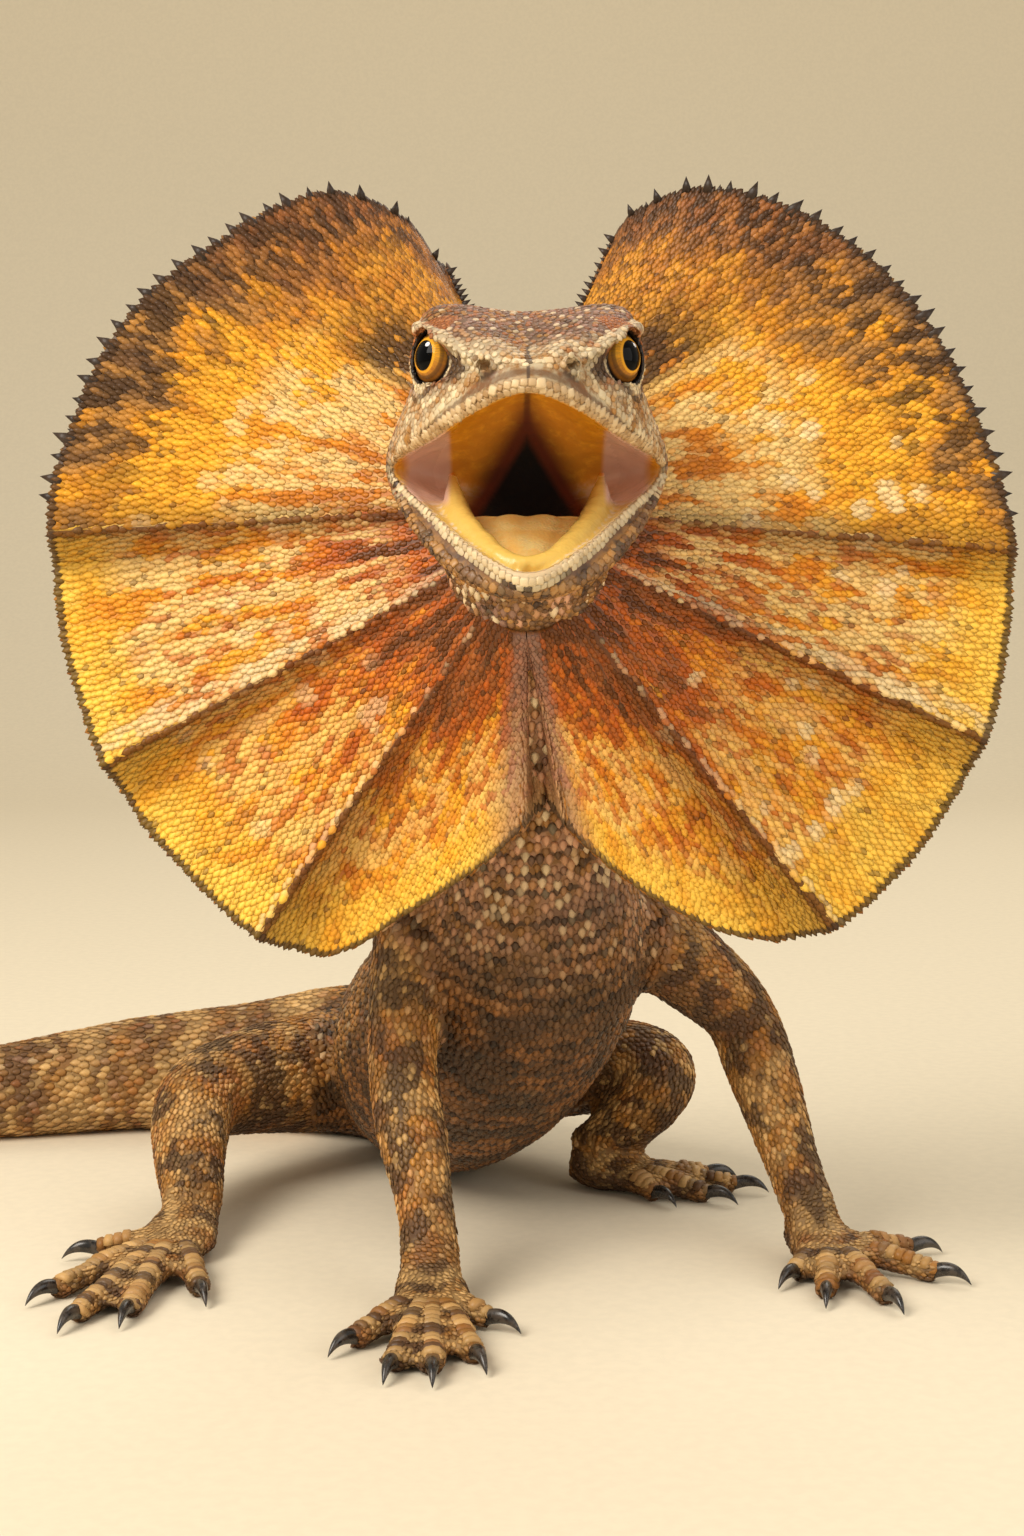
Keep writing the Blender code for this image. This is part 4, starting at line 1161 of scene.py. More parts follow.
class MakeHeadScales(bpy.types.Operator):
    """Covers the head with small scales and sets the lip plates along both jaws"""
    bl_idname = "lizard.head_scales"
    bl_label = "Head scales"

    def execute(self, context):
        skin = bpy.data.objects["skin_head"]
        for name, region, spacing, model, proportions in (
                ("scales_head", FACE, 1.0, "round_scale", (1.16, 1.35, 0.62)),
                ("scales_nape", NAPE, 1.15, "keeled_scale", (1.2, 1.5, 0.6)),
                ("scales_lids", LIDS, 0.62, "round_scale", (1.2, 1.2, 0.6))):
            scatter(name, skin, region, scales().head * spacing, model, proportions, "head_scales")
        self.lips(skin)
        return {"FINISHED"}

    def lips(self, skin):
        """Rows of plates along both lips, turned to the mouth and smallest at its corners."""
        grid = head_grid(LIP_AROUND, LIP_ALONG)
        around = grid.shape[1]
        places = grid_places(grid) * MM
        surface = surface_of(skin)
        seats = {}
        for band, (ring, wide) in enumerate(LIP_ROWS):
            line = places[int(round(ring * LIP_ALONG))]
            inner = places[int(round((ring + 0.55) * LIP_ALONG))]
            spans = np.linalg.norm(np.roll(line, -1, axis=0) - line, axis=1)
            total = spans.sum()
            run = np.concatenate([[0], np.cumsum(spans)])
            count = int(total / wide)
            for k in range(count):
                at = (k + 0.5 * band) * total / count
                i = int(np.searchsorted(run, at, "right") - 1) % around
                share = (at - run[i]) / spans[i]
                place = line[i] * (1 - share) + line[(i + 1) % around] * share
                target = inner[i] * (1 - share) + inner[(i + 1) % around] * share
                root, stand, _, _ = surface.find_nearest(Vector(place))
                turn = min(i / LIP_AROUND, 12 - i / LIP_AROUND)
                if root is None or (band in (0, 2) and turn > 2.9) or (band > 2 and turn < 3.1):
                    continue
                lie = Vector(target - place)
                sit(seats, seat=root, stand=stand, lie=(lie - stand * lie.dot(stand)).normalized(),
                    root_map=(at / total, 0.97 - band * 0.02, 0), place=(ring, turn, 0.0),
                    size=wide * (0.74 + 0.26 * min(1.0, abs(turn - 3.0))))
        vary = np.random.default_rng(5).uniform(0.82, 1.12, len(seats["size"]))
        seats["size"] = np.array(seats["size"]) * vary
        seat("scales_lips", seats, 1.0, "plate_scale", (1.14, 1.1, 0.36), "head_scales")


class MakeEyes(bpy.types.Operator):
    """Makes both eyes, each a ball with a raised cornea, set as deep as real ones"""
    bl_idname = "lizard.eyes"
    bl_label = "Eyes"

    def execute(self, context):
        for side, name in ((1, "left"), (-1, "right")):
            turn = look_turn(side)
            middle = eye_middle(side)
            eye = ball("eyeball_" + name, middle, EYE_RADIUS - 0.05, turn, segments=72, rings=48)
            points = points_of(eye.data) / MM
            local = np.array([turn.inverted() @ (Vector(p) - middle) for p in points])
            local /= np.linalg.norm(local, axis=1)[:, None]
            reach = np.hypot(local[:, 0], local[:, 1])
            swell = np.where(local[:, 2] > 0, 0.55 * np.clip(1 - (reach / 0.62) ** 2, 0, 1), 0)
            points += np.array([turn @ Vector(p) for p in local]) * swell[:, None]
            put_points(eye.data, points * MM)
            note(eye.data, eye_place=local)
            dress(eye, "eyeball", ["eye_" + name])
        return {"FINISHED"}


class MakeTongue(bpy.types.Operator):
    """Makes the broad, blunt tongue with its groove and wavy back edge"""
    bl_idname = "lizard.tongue"
    bl_label = "Tongue"

    def execute(self, context):
        low, high = (np.array(c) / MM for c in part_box("tongue"))
        middle = (low + high) / 2
        rows, cols = 44, 64
        points = []
        for i in range(rows):
            v = i / (rows - 1)
            width = np.interp(v, (0, 0.08, 0.3, 0.75, 0.93, 1.0), (13.2, 13.8, 11.6, 7.4, 5.0, 2.4))
            crown = high[2] - 4.6 - 10.0 * v
            thick = np.interp(v, (0, 0.06, 0.2, 0.8, 1.0), (0.8, 2.0, 3.2, 2.6, 1.0))
            for k in range(cols):
                a = 2 * math.pi * k / cols
                x, z = math.cos(a), math.sin(a)
                x = math.copysign(abs(x) ** 0.8, x)
                lift = 0.75 * abs(math.sin(x * 5.2)) * max(0.0, 1 - v * 3.2)
                groove = 0.65 * math.exp(-((x * width) / 0.8) ** 2) * min(1.0, v * 4) * (1 - v)
                ridge = 0.35 * math.exp(-((abs(x) - 0.62) / 0.1) ** 2) * min(1.0, v * 5)
                top = (z > 0) * (lift - groove - ridge)
                wavy = 0.5 * math.cos(x * 9.0) * max(0.0, 1 - v * 6)
                y = low[1] + (high[1] - low[1] - 9) * (1 - v) + wavy
                up = crown - thick + z * thick * (1 - 0.15 * x * x) + top
                points.append((middle[0] + x * width, y, up))
        tongue = tube("tongue_flesh", points, cols)
        use(tongue, "SUBSURF", levels=1, render_levels=1)
        settle(tongue)
        dress(tongue, "tongue_flesh", ["tongue"])
        return {"FINISHED"}


class MakeClaws(bpy.types.Operator):
    """Makes the claws, each curved, pointed and flattened below, with its root in the toe"""
    bl_idname = "lizard.claws"
    bl_label = "Claws"

    def execute(self, context):
        for foot in FEET:
            names = [f"claw_{foot}_{k}" for k in range(1, 6)]
            claws = joined("claws_" + foot, [self.claw(name) for name in names])
            dress(claws, "claw_sheath", names)
        return {"FINISHED"}

    def claw(self, name):
        """A claw along its toe's way, over the plain one of the CAD model."""
        foot, index = name[5:].rsplit("_", 1)
        way = Vector((*FEET[foot][1][int(index) - 1], 0)).normalized()
        across = Vector((way.y, -way.x, 0))
        points = points_of(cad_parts[name].data) / MM
        along = points @ np.array(way)
        start, end = along.min(), along.max()
        first = points[along < start + 2.2].mean(axis=0)
        last = points[along > end - 1.2].mean(axis=0) - np.array(way) * 1.2
        sides, count, shell = 14, 15, []
        for i in range(count):
            share = i / (count - 1)
            bend = first * 0.3 + last * 0.7 + np.array([0, 0, 4.4])
            curve = (1 - share) ** 2 * first + 2 * share * (1 - share) * bend + share**2 * last
            centre = Vector(curve) - way * (1.2 * (1 - share))
            size = 2.25 * (1 - share**1.7) ** 0.9 + 0.10
            for k in range(sides):
                a = 2 * math.pi * k / sides
                x, z = math.cos(a) * 0.74, math.sin(a)
                if z < -0.55:
                    z = -0.55 + (z + 0.55) * 0.35
                shell.append(centre + across * (size * x) + Vector((0, 0, size * 1.02 * z)))
        lift = max(0.0, 0.05 - min(p.z for p in shell))
        return tube(name + "_fine", [p + Vector((0, 0, lift)) for p in shell], sides)


# Frill

def rim_reach(side, angle):
    """The frill's reach at an angle from straight up."""
    angles, reach = zip(*FRILL_RIM[side])
    return float(np.interp(angle, angles, reach))


def pleat(side, angle):
    """How far forward the pleated surface stands, from 0 in a valley to 1 on a ridge."""
    marks = (PLEATS_FROM, *FRILL_RIDGES[side], PLEATS_TO)
    for low, high in zip(marks, marks[1:]):
        if low <= angle <= high:
            share = (angle - low) / (high - low)
            step = STEP_ANGLE / (high - low)
            if low != marks[0] and share < step:
                return 1 - share / step
            start = step if low != marks[0] else 0.0
            return ((share - start) / (1 - start)) ** 1.6
    return 0.0


def frill_place(side, angle, share):
    """A point on the frill's mid surface; share runs from the root, 0, to the rim, 1."""
    sign = 2 * LEFT[side] - 1
    a = math.radians(angle)
    up = (1 + math.cos(a)) / 2
    root = Vector((0, *FRILL_ROOT_BOTTOM)).lerp(Vector((0, *FRILL_ROOT_TOP)), up)
    root.x = FRILL_CENTRE[0] + sign * FRILL_ROOT_SIDE * math.sin(a)
    reach = rim_reach(side, angle)
    shift = NOTCH_SHIFT * max(0.0, (angle - 150) / 30)
    rim = Vector((FRILL_CENTRE[0] + shift + sign * max(reach * math.sin(a), 0.0),
                  FRILL_CENTRE[1] - 12 * (1 - up), FRILL_CENTRE[2] + reach * math.cos(a)))
    point = root.lerp(rim, share)
    point.y += 6.0 * math.sin(math.pi * share) - sizes().pleat_depth / MM * pleat(side, angle) * share
    curl = max(0.0, (44 - angle) / 27.0)
    groove = max(0.0, (angle - 171.0) / 9.0)
    point.y += 24.0 * curl**2 * share + 2.0 * groove**1.5 * min(1.0, share * 1.5)
    return point


def frill_lines(side):
    """The angles of the frill's radial lines: dense at each ridge's step, even between."""
    marks = [FIRST_ANGLE, PLEATS_FROM, *FRILL_RIDGES[side], LAST_ANGLE]
    found = []
    for i, (low, high) in enumerate(zip(marks, marks[1:])):
        start = low
        if i >= 2:
            found += [low, low + 0.8, low + 1.6, low + 2.4, low + 3.2]
            start = low + STEP_ANGLE
        count = max(3, round((high - start) / 1.15))
        found += [start + (high - start) * k / count for k in range(count)]
    return found + [marks[-1]]


def frill_sheet(side):
    """The fine mid surface: angles, shares, and its points and normals in millimetres."""
    angles = np.array(frill_lines(side))
    shares = np.linspace(0, 1, 61)
    points = np.array([[frill_place(side, a, s) for s in shares] for a in angles])
    folds = np.zeros(points.shape[:2])
    draw = np.random.default_rng(5 if side == "left" else 6)
    for _ in range(16):
        at = draw.uniform(24, 176)
        wide = draw.uniform(0.9, 1.9)
        deep = draw.uniform(0.12, 0.42)
        begin = draw.uniform(0.12, 0.4)
        drift = draw.uniform(-3, 3)
        line = at + drift * shares[None, :]
        rise = np.clip((shares[None, :] - begin) / 0.3, 0, 1) * (1 - 0.4 * shares[None, :])
        folds += deep * np.exp(-((angles[:, None] - line) / wide) ** 2) * rise
    flat = points.reshape(-1, 3)
    folds += 0.18 * wave(flat * np.array([1, 0.5, 1]), 0.16, 14).reshape(folds.shape)
    fade = np.clip(shares * 4, 0, 1) * np.clip((1 - shares) * 8, 0.25, 1)
    points[..., 1] -= folds * fade[None, :]
    normals = np.cross(np.gradient(points, axis=0), np.gradient(points, axis=1))
    normals /= np.linalg.norm(normals, axis=2)[..., None] + 1e-9
    if normals[..., 1].mean() > 0:
        normals = -normals
    return angles, shares, points, normals


def frill_half(shares):
    """Half the frill's thickness there in millimetres, less the depth of its scales."""
    root, rim = sizes().frill_root / MM, sizes().frill_rim / MM
    return ((root + (rim - root) * np.minimum(1, shares * 1.6)) / 2 - FRILL_COAT)[None, :, None]


def inside_skins(points, names):
    """Which points lie under one of the skins."""
    found = np.zeros(len(points), bool)
    for name in names:
        surface = surface_of(bpy.data.objects[name])
        for i, p in enumerate(points):
            way = Vector((1.0 if p[0] > FRILL_CENTRE[0] * MM else -1.0, 0, 0))
            place, normal, _, _ = surface.ray_cast(Vector(p), way)
            if place is not None and normal.dot(way) > 0:
                found[i] = True
    return found


class MakeFrill(bpy.types.Operator):
    """Makes both halves of the frill: pleated, folded membranes with a rolled rim"""
    bl_idname = "lizard.frill"
    bl_label = "Frill"

    def execute(self, context):
        for side in ("right", "left"):
            angles, shares, points, normals = frill_sheet(side)
            rows, cols = points.shape[:2]
            half = normals * frill_half(shares)
            rim = points[:, -1:] + (points[:, -1:] - points[:, -2:-1]) * 0.12
            verts = np.concatenate([part.reshape(-1, 3) for part in (points + half, points - half, rim)])
            faces, base, edge = [], rows * cols, 2 * rows * cols
            for i in range(rows - 1):
                for a in range(i * cols, i * cols + cols - 1):
                    b = base + a
                    faces += [(a, a + 1, a + cols + 1, a + cols), (b, b + cols, b + cols + 1, b + 1)]
                a, z = i * cols, i * cols + cols - 1
                faces += [(a, a + cols, base + a + cols, base + a), (z, edge + i, edge + i + 1, z + cols),
                          (edge + i, base + z, base + z + cols, edge + i + 1)]
            for i in (0, rows - 1):
                z = i * cols + cols - 1
                faces += [(a, base + a, base + a + 1, a + 1) for a in range(i * cols, z)]
                faces.append((z, base + z, edge + i))
            frill = made("membrane_" + side, verts, faces)
            self.note_places(frill, side, angles, shares)
            dress(frill, "membrane", ["frill_" + side])
        return {"FINISHED"}

    def note_places(self, frill, side, angles, shares):
        """Stores where each point lies on the frill: front, back, then rim."""
        a, s = np.meshgrid(angles / 180, shares, indexing="ij")
        panels = np.vstack([frill_panel(side, a.ravel() * 180, s.ravel())] * 2
                           + [frill_panel(side, angles, np.ones(len(angles)))])
        sheet = filled(a.size, a.ravel(), s.ravel(), LEFT[side])
        rim = filled(len(angles), angles / 180, 1.0, LEFT[side])
        facing = np.concatenate([np.ones(a.size), np.zeros(a.size), np.full(len(angles), 0.5)])
        note(frill.data, frill_panel=panels, frill_place=np.vstack([sheet, sheet, rim]), front=facing,
             fleck=np.full(len(facing), MIDDLE_FLECK), root=points_of(frill.data))


def frill_panel(side, angles, shares):
    """The pleat panel a place is in, how far through it, and its millimetres from the rim."""
    marks = np.array([FIRST_ANGLE, *FRILL_RIDGES[side], LAST_ANGLE + 0.01])
    panel = np.clip(np.searchsorted(marks, angles, "right") - 1, 0, 3)
    phase = (angles - marks[panel]) / (marks[panel + 1] - marks[panel])
    reach = np.array([rim_reach(side, angle) for angle in angles]) - 28
    return np.stack([panel, phase, (1 - shares) * reach], axis=1)


def filled(count, *values):
    """The values as columns; a single number fills its own."""
    return np.stack([np.broadcast_to(value, count) for value in values], axis=1)


def along(at, run, rows):
    """The rows of a line's points, read at places along it; its points lie at run."""
    return np.stack([np.interp(at, run, rows[:, axis]) for axis in range(3)], axis=1)


def frill_seats(side, front, spacing):
    """Seats in staggered rows across the frill, one spacing apart, on its front or back."""
    angles, shares, points, normals = frill_sheet(side)
    face = 1 if front else -1
    sheet = points + face * normals * frill_half(shares)
    ways = np.gradient(sheet, axis=1)
    ways /= np.linalg.norm(ways, axis=2)[..., None]
    longest = np.linalg.norm(np.diff(points, axis=1), axis=2).sum(axis=1).max()
    draw = np.random.default_rng(3 + front + 2 * (side == "left"))
    row_gap = spacing * 0.9
    rows = int(longest / row_gap)
    left = LEFT[side]
    seats = {}
    for r in range(rows):
        share = (r + 0.5) / rows
        col = share * (len(shares) - 1)
        k = min(int(col), len(shares) - 2)
        part = col - k
        line = sheet[:, k] * (1 - part) + sheet[:, k + 1] * part
        spans = np.linalg.norm(np.diff(line, axis=0), axis=1)
        run = np.concatenate([[0], np.cumsum(spans)])
        count = int(run[-1] / spacing)
        at = (np.arange(count) + 0.5 * (r % 2) + draw.uniform(-0.22, 0.22, count)) * run[-1] / count
        at = at[(at > 0.3) & (at < run[-1] - 0.3)]
        drift = draw.uniform(-0.16, 0.16, len(at)) * row_gap
        way = along(at, run, ways[:, k])
        angle = np.interp(at, run, angles) / 180
        sit(seats, seat=(along(at, run, line) + way * drift[:, None]) * MM, lie=way,
            stand=along(at, run, normals[:, k] * face),
            root_map=filled(len(at), angle * 0.48 + 0.5 * left, 0.5 * front + share * 0.48, 0.0),
            frill_place=filled(len(at), angle, share, left),
            frill_panel=frill_panel(side, angle * 180, np.full(len(at), share)),
            size=np.full(len(at), 0.80 + 0.30 * min(1.0, share * 1.6)),
            front=np.full(len(at), float(front)))
    seats = {key: np.concatenate(value) for key, value in seats.items()}
    inner = seats["frill_place"][:, 1] < 0.35
    hidden = np.zeros(len(inner), bool)
    hidden[inner] = inside_skins(seats["seat"][inner], ("skin_head", "skin_body"))
    return {key: value[~hidden] for key, value in seats.items()}


class MakeFrillScales(bpy.types.Operator):
    """Sets keeled scales in rows over both faces of the frill"""
    bl_idname = "lizard.frill_scales"
    bl_label = "Frill scales"

    def execute(self, context):
        for side in ("right", "left"):
            for front, name in ((True, "front"), (False, "back")):
                spacing = scales().frill / MM * (1.0 if front else 1.2)
                seat(f"scales_frill_{name}_{side}", frill_seats(side, front, spacing), spacing * MM,
                     "keeled_scale", (1.0, 1.28, 0.34), "frill_scales")
        return {"FINISHED"}


def spine_shape():
    """A flat, pointed rim spine, one unit long, its root round and sunk."""
    points = [(-0.17, -0.15, 0), (-0.12, -0.15, 0.07), (0.12, -0.15, 0.07), (0.17, -0.15, 0),
              (0.12, -0.15, -0.07), (-0.12, -0.15, -0.07)]
    points += [(x * 0.72, 0.4, z * 0.9) for x, _, z in points] + [(0, 1.0, 0), (0, -0.2, 0)]
    faces = []
    for k in range(6):
        n = (k + 1) % 6
        faces += [(k, n, 6 + n), (k, 6 + n, 6 + k), (6 + k, 6 + n, 12), (n, k, 13)]
    return shape_object("spine_shape", points, faces)


SHAPES = {"keeled_scale": keeled_scale, "round_scale": round_scale, "plate_scale": plate_scale,
          "toe_plate": toe_plate, "spine_shape": spine_shape}


def innermost(side, share):
    """Where the frill's upper fold comes nearest to the middle, as an angle and a place."""
    found = [(angle, frill_place(side, angle, share)) for angle in range(18, 40)]
    far = -CAMERA_PLACE[1] / MM
    return min(found, key=lambda pair: abs(pair[1].x - FRILL_CENTRE[0]) / (far + pair[1].y))


class MakeRimSpines(bpy.types.Operator):
    """Sets the rim's spines: long and dark on the upper half, short and fine below"""
    bl_idname = "lizard.rim_spines"
    bl_label = "Rim spines"

    def execute(self, context):
        for side in ("right", "left"):
            draw = np.random.default_rng(9 if side == "right" else 10)
            left = LEFT[side]
            inward = 1 - 2 * left
            seats = {}

            def set_spine(angle, share, way, beside, size):
                sit(seats, seat=frill_place(side, angle, share) * MM,
                    stand=way.cross(beside).normalized(), lie=way,
                    root_map=(angle / 180 * 0.48 + 0.5 * left, 0.985 * share, 0),
                    frill_place=(angle / 180, 1.0, left), size=size)

            for share in np.arange(0.95, 0.5, -0.042):
                angle, place = innermost(side, share)
                beside = (frill_place(side, angle, share - 0.03) - place).normalized()
                way = Vector((inward, -0.2, 0.6)).normalized()
                set_spine(angle, share, way, beside, draw.uniform(0.45, 0.8))
            angle = 19.5
            small = False
            while angle < 176:
                upper = angle < 90
                length = (0.45 if small else 1.0) if upper else 0.42
                small = not small
                if angle > 150:
                    length *= 0.7
                size = length * draw.uniform(0.8, 1.15)
                at = frill_place(side, angle, 0.99)
                way = (at - frill_place(side, angle, 0.94)).normalized()
                beside = (frill_place(side, angle + 0.6, 0.99) - at).normalized()
                lean = max(0.0, (40 - angle) / 20)
                way += Vector((inward * 0.9 * lean, -0.7 * lean, 0.16 if upper else 0))
                way = (way + beside * draw.uniform(-0.16, 0.16)).normalized()
                set_spine(angle, 0.99, way, beside, size)
                step = 2.6 if upper else 1.7
                angle += math.degrees(step / rim_reach(side, angle)) * draw.uniform(0.8, 1.2)
            seat("rim_spines_" + side, seats, sizes().spine_length, "spine_shape", (2.1, 1.0, 1.8),
                 "frill_spines")
        return {"FINISHED"}


# Finishes

def body_colour(p):
    """The markings of trunk, legs and tail, read from each scale's root, with painted shade on the
    undersides and in the belly's folds and a painted highlight on the legs' upper side.
    """
    root, _, _, _ = p.stored("root")
    _, run, kind, rise = p.stored("place")
    fleck = p.stored_number("fleck")
    broad = p.noise(root, 46, 3, 0.6)
    fine = p.noise(root, 150, 4, 0.65)
    patch = p.noise(root, 75, 2, 0.5)
    mixed = p.picked(fleck, [(0.36, "brown"), (0.62, "ochre"), (0.74, "rust"), (0.84, "mauve"),
                             (0.95, "umber"), (1, "cream")])
    base = p.blend(p.ramp(broad, 0.4, 0.6), "brown", "ochre")
    base = p.laid(base, mixed, 0.3)
    base = p.laid(base, "umber", 0.6, p.ramp(fine, 0.54, 0.68))
    tail = p.ramp(kind, -0.1, -0.9)
    limb = p.ramp(kind, 0.1, 0.9)
    foot = p.ramp(kind, 1.4, 1.6)
    trunk = p.within(kind, -0.1, 0.1, 0.8)
    chest = p.times(trunk, p.ramp(run, 0.19, 0.11))
    rosy = p.blend(p.ramp(fine, 0.42, 0.6), (0.78, 0.42, 0.25), "ochre")
    rosy = p.blend(p.ramp(broad, 0.52, 0.66), rosy, "mauve")
    base = p.laid(base, rosy, 0.88, chest)
    beads = p.times(chest, p.maths("GREATER_THAN", fleck, 0.78), p.ramp(patch, 0.42, 0.52))
    base = p.laid(base, "cream", 0.85, beads)
    # Painted shade: the trunk's underside, where shade falls, painted dark olive with brown patches.
    under = p.times(trunk, p.ramp(rise, 0.1, -0.4), p.ramp(run, 0.1, 0.17))
    olive = p.blend(p.ramp(patch, 0.42, 0.62), (0.05, 0.022, 0.006), (0.24, 0.09, 0.018))
    base = p.laid(base, olive, 0.88, under)
    # Painted shade: near-black lines in the folds across the belly.
    rib_crease_shade = p.times(p.plus(run, p.times(broad, 0.012)), 520)
    rib_crease_shade = p.ramp(p.maths("ABSOLUTE", p.maths("SINE", rib_crease_shade)), 0.5, 0.25)
    rib_crease_shade = p.times(trunk, rib_crease_shade, p.ramp(run, 0.06, 0.1), p.ramp(patch, 0.32, 0.42))
    base = p.laid(base, (0.016, 0.008, 0.003), 0.75, rib_crease_shade)
    waver = p.times(p.noise(root, 30, 2), 0.05)
    slant = p.plus(p.plus(run, waver), p.times(rise, 0.007))
    base = p.laid(base, "sandy", 0.65, tail, p.bands(slant, 165, 0, 0.85))
    streak = p.bands(slant, 680, 0.1, 0.8)
    base = p.laid(base, "sandy", 0.85, tail, streak, p.ramp(patch, 0.36, 0.5))
    base = p.laid(base, "amber", 0.3, limb)
    ring = p.bands(slant, 420, 0.1, 0.9)
    base = p.laid(base, "sandy", 0.45, limb, ring, p.ramp(rise, -0.3, 0.4))
    base = p.laid(base, "rust", 0.45, limb, p.ramp(patch, 0.54, 0.64))
    # Pale patches of the legs, kept to their upper side: their own colour and a painted highlight.
    base = p.laid(base, "sandy", 0.6, limb, p.ramp(patch, 0.48, 0.38), p.ramp(rise, -0.4, 0.3))
    base = p.laid(base, "umber", 0.8, limb, p.ramp(p.noise(root, 95, 3), 0.47, 0.56))
    dabs = p.times(limb, p.ramp(p.cells(root, 230), 0.36, 0.28), p.ramp(broad, 0.46, 0.54))
    base = p.laid(base, "sandy", 0.75, dabs)
    # Painted shade: the legs darker on their undersides.
    base = p.laid(base, "umber", 0.6, limb, p.ramp(rise, -0.1, -0.7))
    base = p.laid(base, "umber", 0.3, foot)
    knuckle = p.bands(run, 760, -0.2, 0.7)
    base = p.laid(base, "sandy", 0.65, foot, knuckle, p.ramp(rise, 0.1, 0.6))
    return p.varied(base, fleck, 0.2)


def head_colour(p):
    """The markings of the head, with a painted shadow under each lower lid, and the places on it that the
    mouth's colours need too.
    """
    root, x, y, z = p.stored("root")
    _, ring, turn, gap = p.stored("place")
    _, brow_gap, band_gap, nostril_gap = p.stored("face")
    fleck = p.stored_number("fleck")
    side = p.maths("ABSOLUTE", p.minus(p.times(x, 1000), HEAD_CENTRE[0]))
    ahead = p.minus(HEAD_CENTRE[1], p.times(y, 1000))
    up = p.minus(p.times(z, 1000), HEAD_CENTRE[2])
    broad = p.noise(root, 90, 3, 0.6)
    fine = p.noise(root, 260, 4, 0.65)
    mixed = p.picked(fleck, [(0.34, "mauve"), (0.54, "brown"), (0.68, "rust"), (0.84, "ochre"),
                             (0.91, "mauve"), (1, "cream")])
    base = p.blend(p.ramp(broad, 0.38, 0.62), "brown", "mauve")
    base = p.laid(base, mixed, 0.55)
    base = p.laid(base, "rust", 0.6, p.ramp(fine, 0.55, 0.68))
    base = p.laid(base, "umber", 0.7, p.ramp(p.noise(root, 170, 3), 0.56, 0.68))
    tan = p.blend(p.ramp(fine, 0.4, 0.62), "cream", "ochre")
    cheek = p.times(p.ramp(up, 17.5, 13), p.ramp(ahead, -4, 8), p.ramp(turn, 3.4, 2.9))
    base = p.laid(base, tan, 0.75, cheek)
    snout = p.times(p.ramp(ahead, 27, 37), p.ramp(turn, 2.2, 1.6))
    base = p.laid(base, tan, 0.72, snout)
    base = p.laid(base, "umber", 0.9, p.ramp(band_gap, 4.6, 2.4))
    beside_band = p.times(p.ramp(band_gap, 7, 5.2), p.ramp(band_gap, 2.6, 4.2))
    base = p.laid(base, "rust", 0.5, beside_band, p.ramp(fine, 0.45, 0.6))
    base = p.laid(base, "umber", 0.9, p.ramp(nostril_gap, 4.4, 2.8))
    comma = p.times(p.ramp(nostril_gap, 2.4, 2), p.ramp(up, 19.6, 20.2))
    base = p.laid(base, "cream", 0.8, comma)
    ridge = p.times(p.ramp(brow_gap, 2.8, 1.8), p.ramp(ahead, -2, 4), p.ramp(fine, 0.64, 0.52))
    base = p.laid(base, "cream", 0.75, ridge)
    eye_gap = p.distance(p.together(side, ahead, up), EYE_CENTRE)
    upper_lid = p.times(p.ramp(eye_gap, 10.4, 9.8), p.ramp(up, 22, 24.5))
    base = p.laid(base, "rust", 0.85, upper_lid)
    lower_lid = p.times(p.ramp(eye_gap, 10.7, 10.2), p.ramp(up, 23, 20.5))
    base = p.laid(base, "cream", 0.95, lower_lid)
    # Painted shadow: a dark band below the pale roll of each lower lid.
    under = p.times(p.within(eye_gap, 11.1, 12, 0.4), p.ramp(up, 22, 18))
    base = p.laid(base, "umber", 0.75, under)
    base = p.blend(p.ramp(eye_gap, 8.95, 8.65), base, (0.012, 0.008, 0.006))
    chin = p.times(p.ramp(turn, 3.3, 3.8), p.ramp(ring, 8, 7.6))
    mottle = p.blend(p.ramp(fine, 0.42, 0.58), "ochre", "brown")
    mottle = p.blend(p.ramp(p.noise(root, 150, 2), 0.52, 0.64), mottle, "umber")
    base = p.laid(base, mottle, 0.9, chin)
    above = p.ramp(turn, 3.15, 2.95)
    second = p.times(above, p.within(ring, 6.95, 7.5, 0.2))
    base = p.laid(base, tan, 0.8, second)
    channel = p.times(above, p.within(ring, 7.85, 8.1, 0.18))
    base = p.laid(base, "brown", 0.65, channel)
    lips = p.within(ring, 8.35, 9.8, 0.15)
    edge = p.blend(p.ramp(fleck, 0, 1, 0.2, 0.65), "ochre", "cream")
    edge = p.blend(p.ramp(turn, 2.8, 3.2, 0, 0.7), edge, "cream")
    base = p.laid(base, edge, 0.88, lips)
    corner = p.times(p.within(turn, 2.93, 3.03, 0.05), p.ramp(ring, 9.4, 8.8))
    base = p.laid(base, "umber", 0.7, corner)
    seam = p.times(p.ramp(side, 0.55, 0.2), p.ramp(ahead, 26, 32), p.ramp(ring, 8.9, 8.5))
    base = p.laid(base, "umber", 0.85, seam)
    base = p.varied(base, fleck, 0.16)
    return base, ring, turn, gap, side, fine


def streaks(p, angle, share, side, fine_round, fine_out):
    """Noise drawn out from the frill's root to its rim."""
    fan = p.together(p.times(angle, fine_round), p.times(share, fine_out), p.times(side, 9))
    return p.noise(fan, 1, 2, 0.6, 0.4)


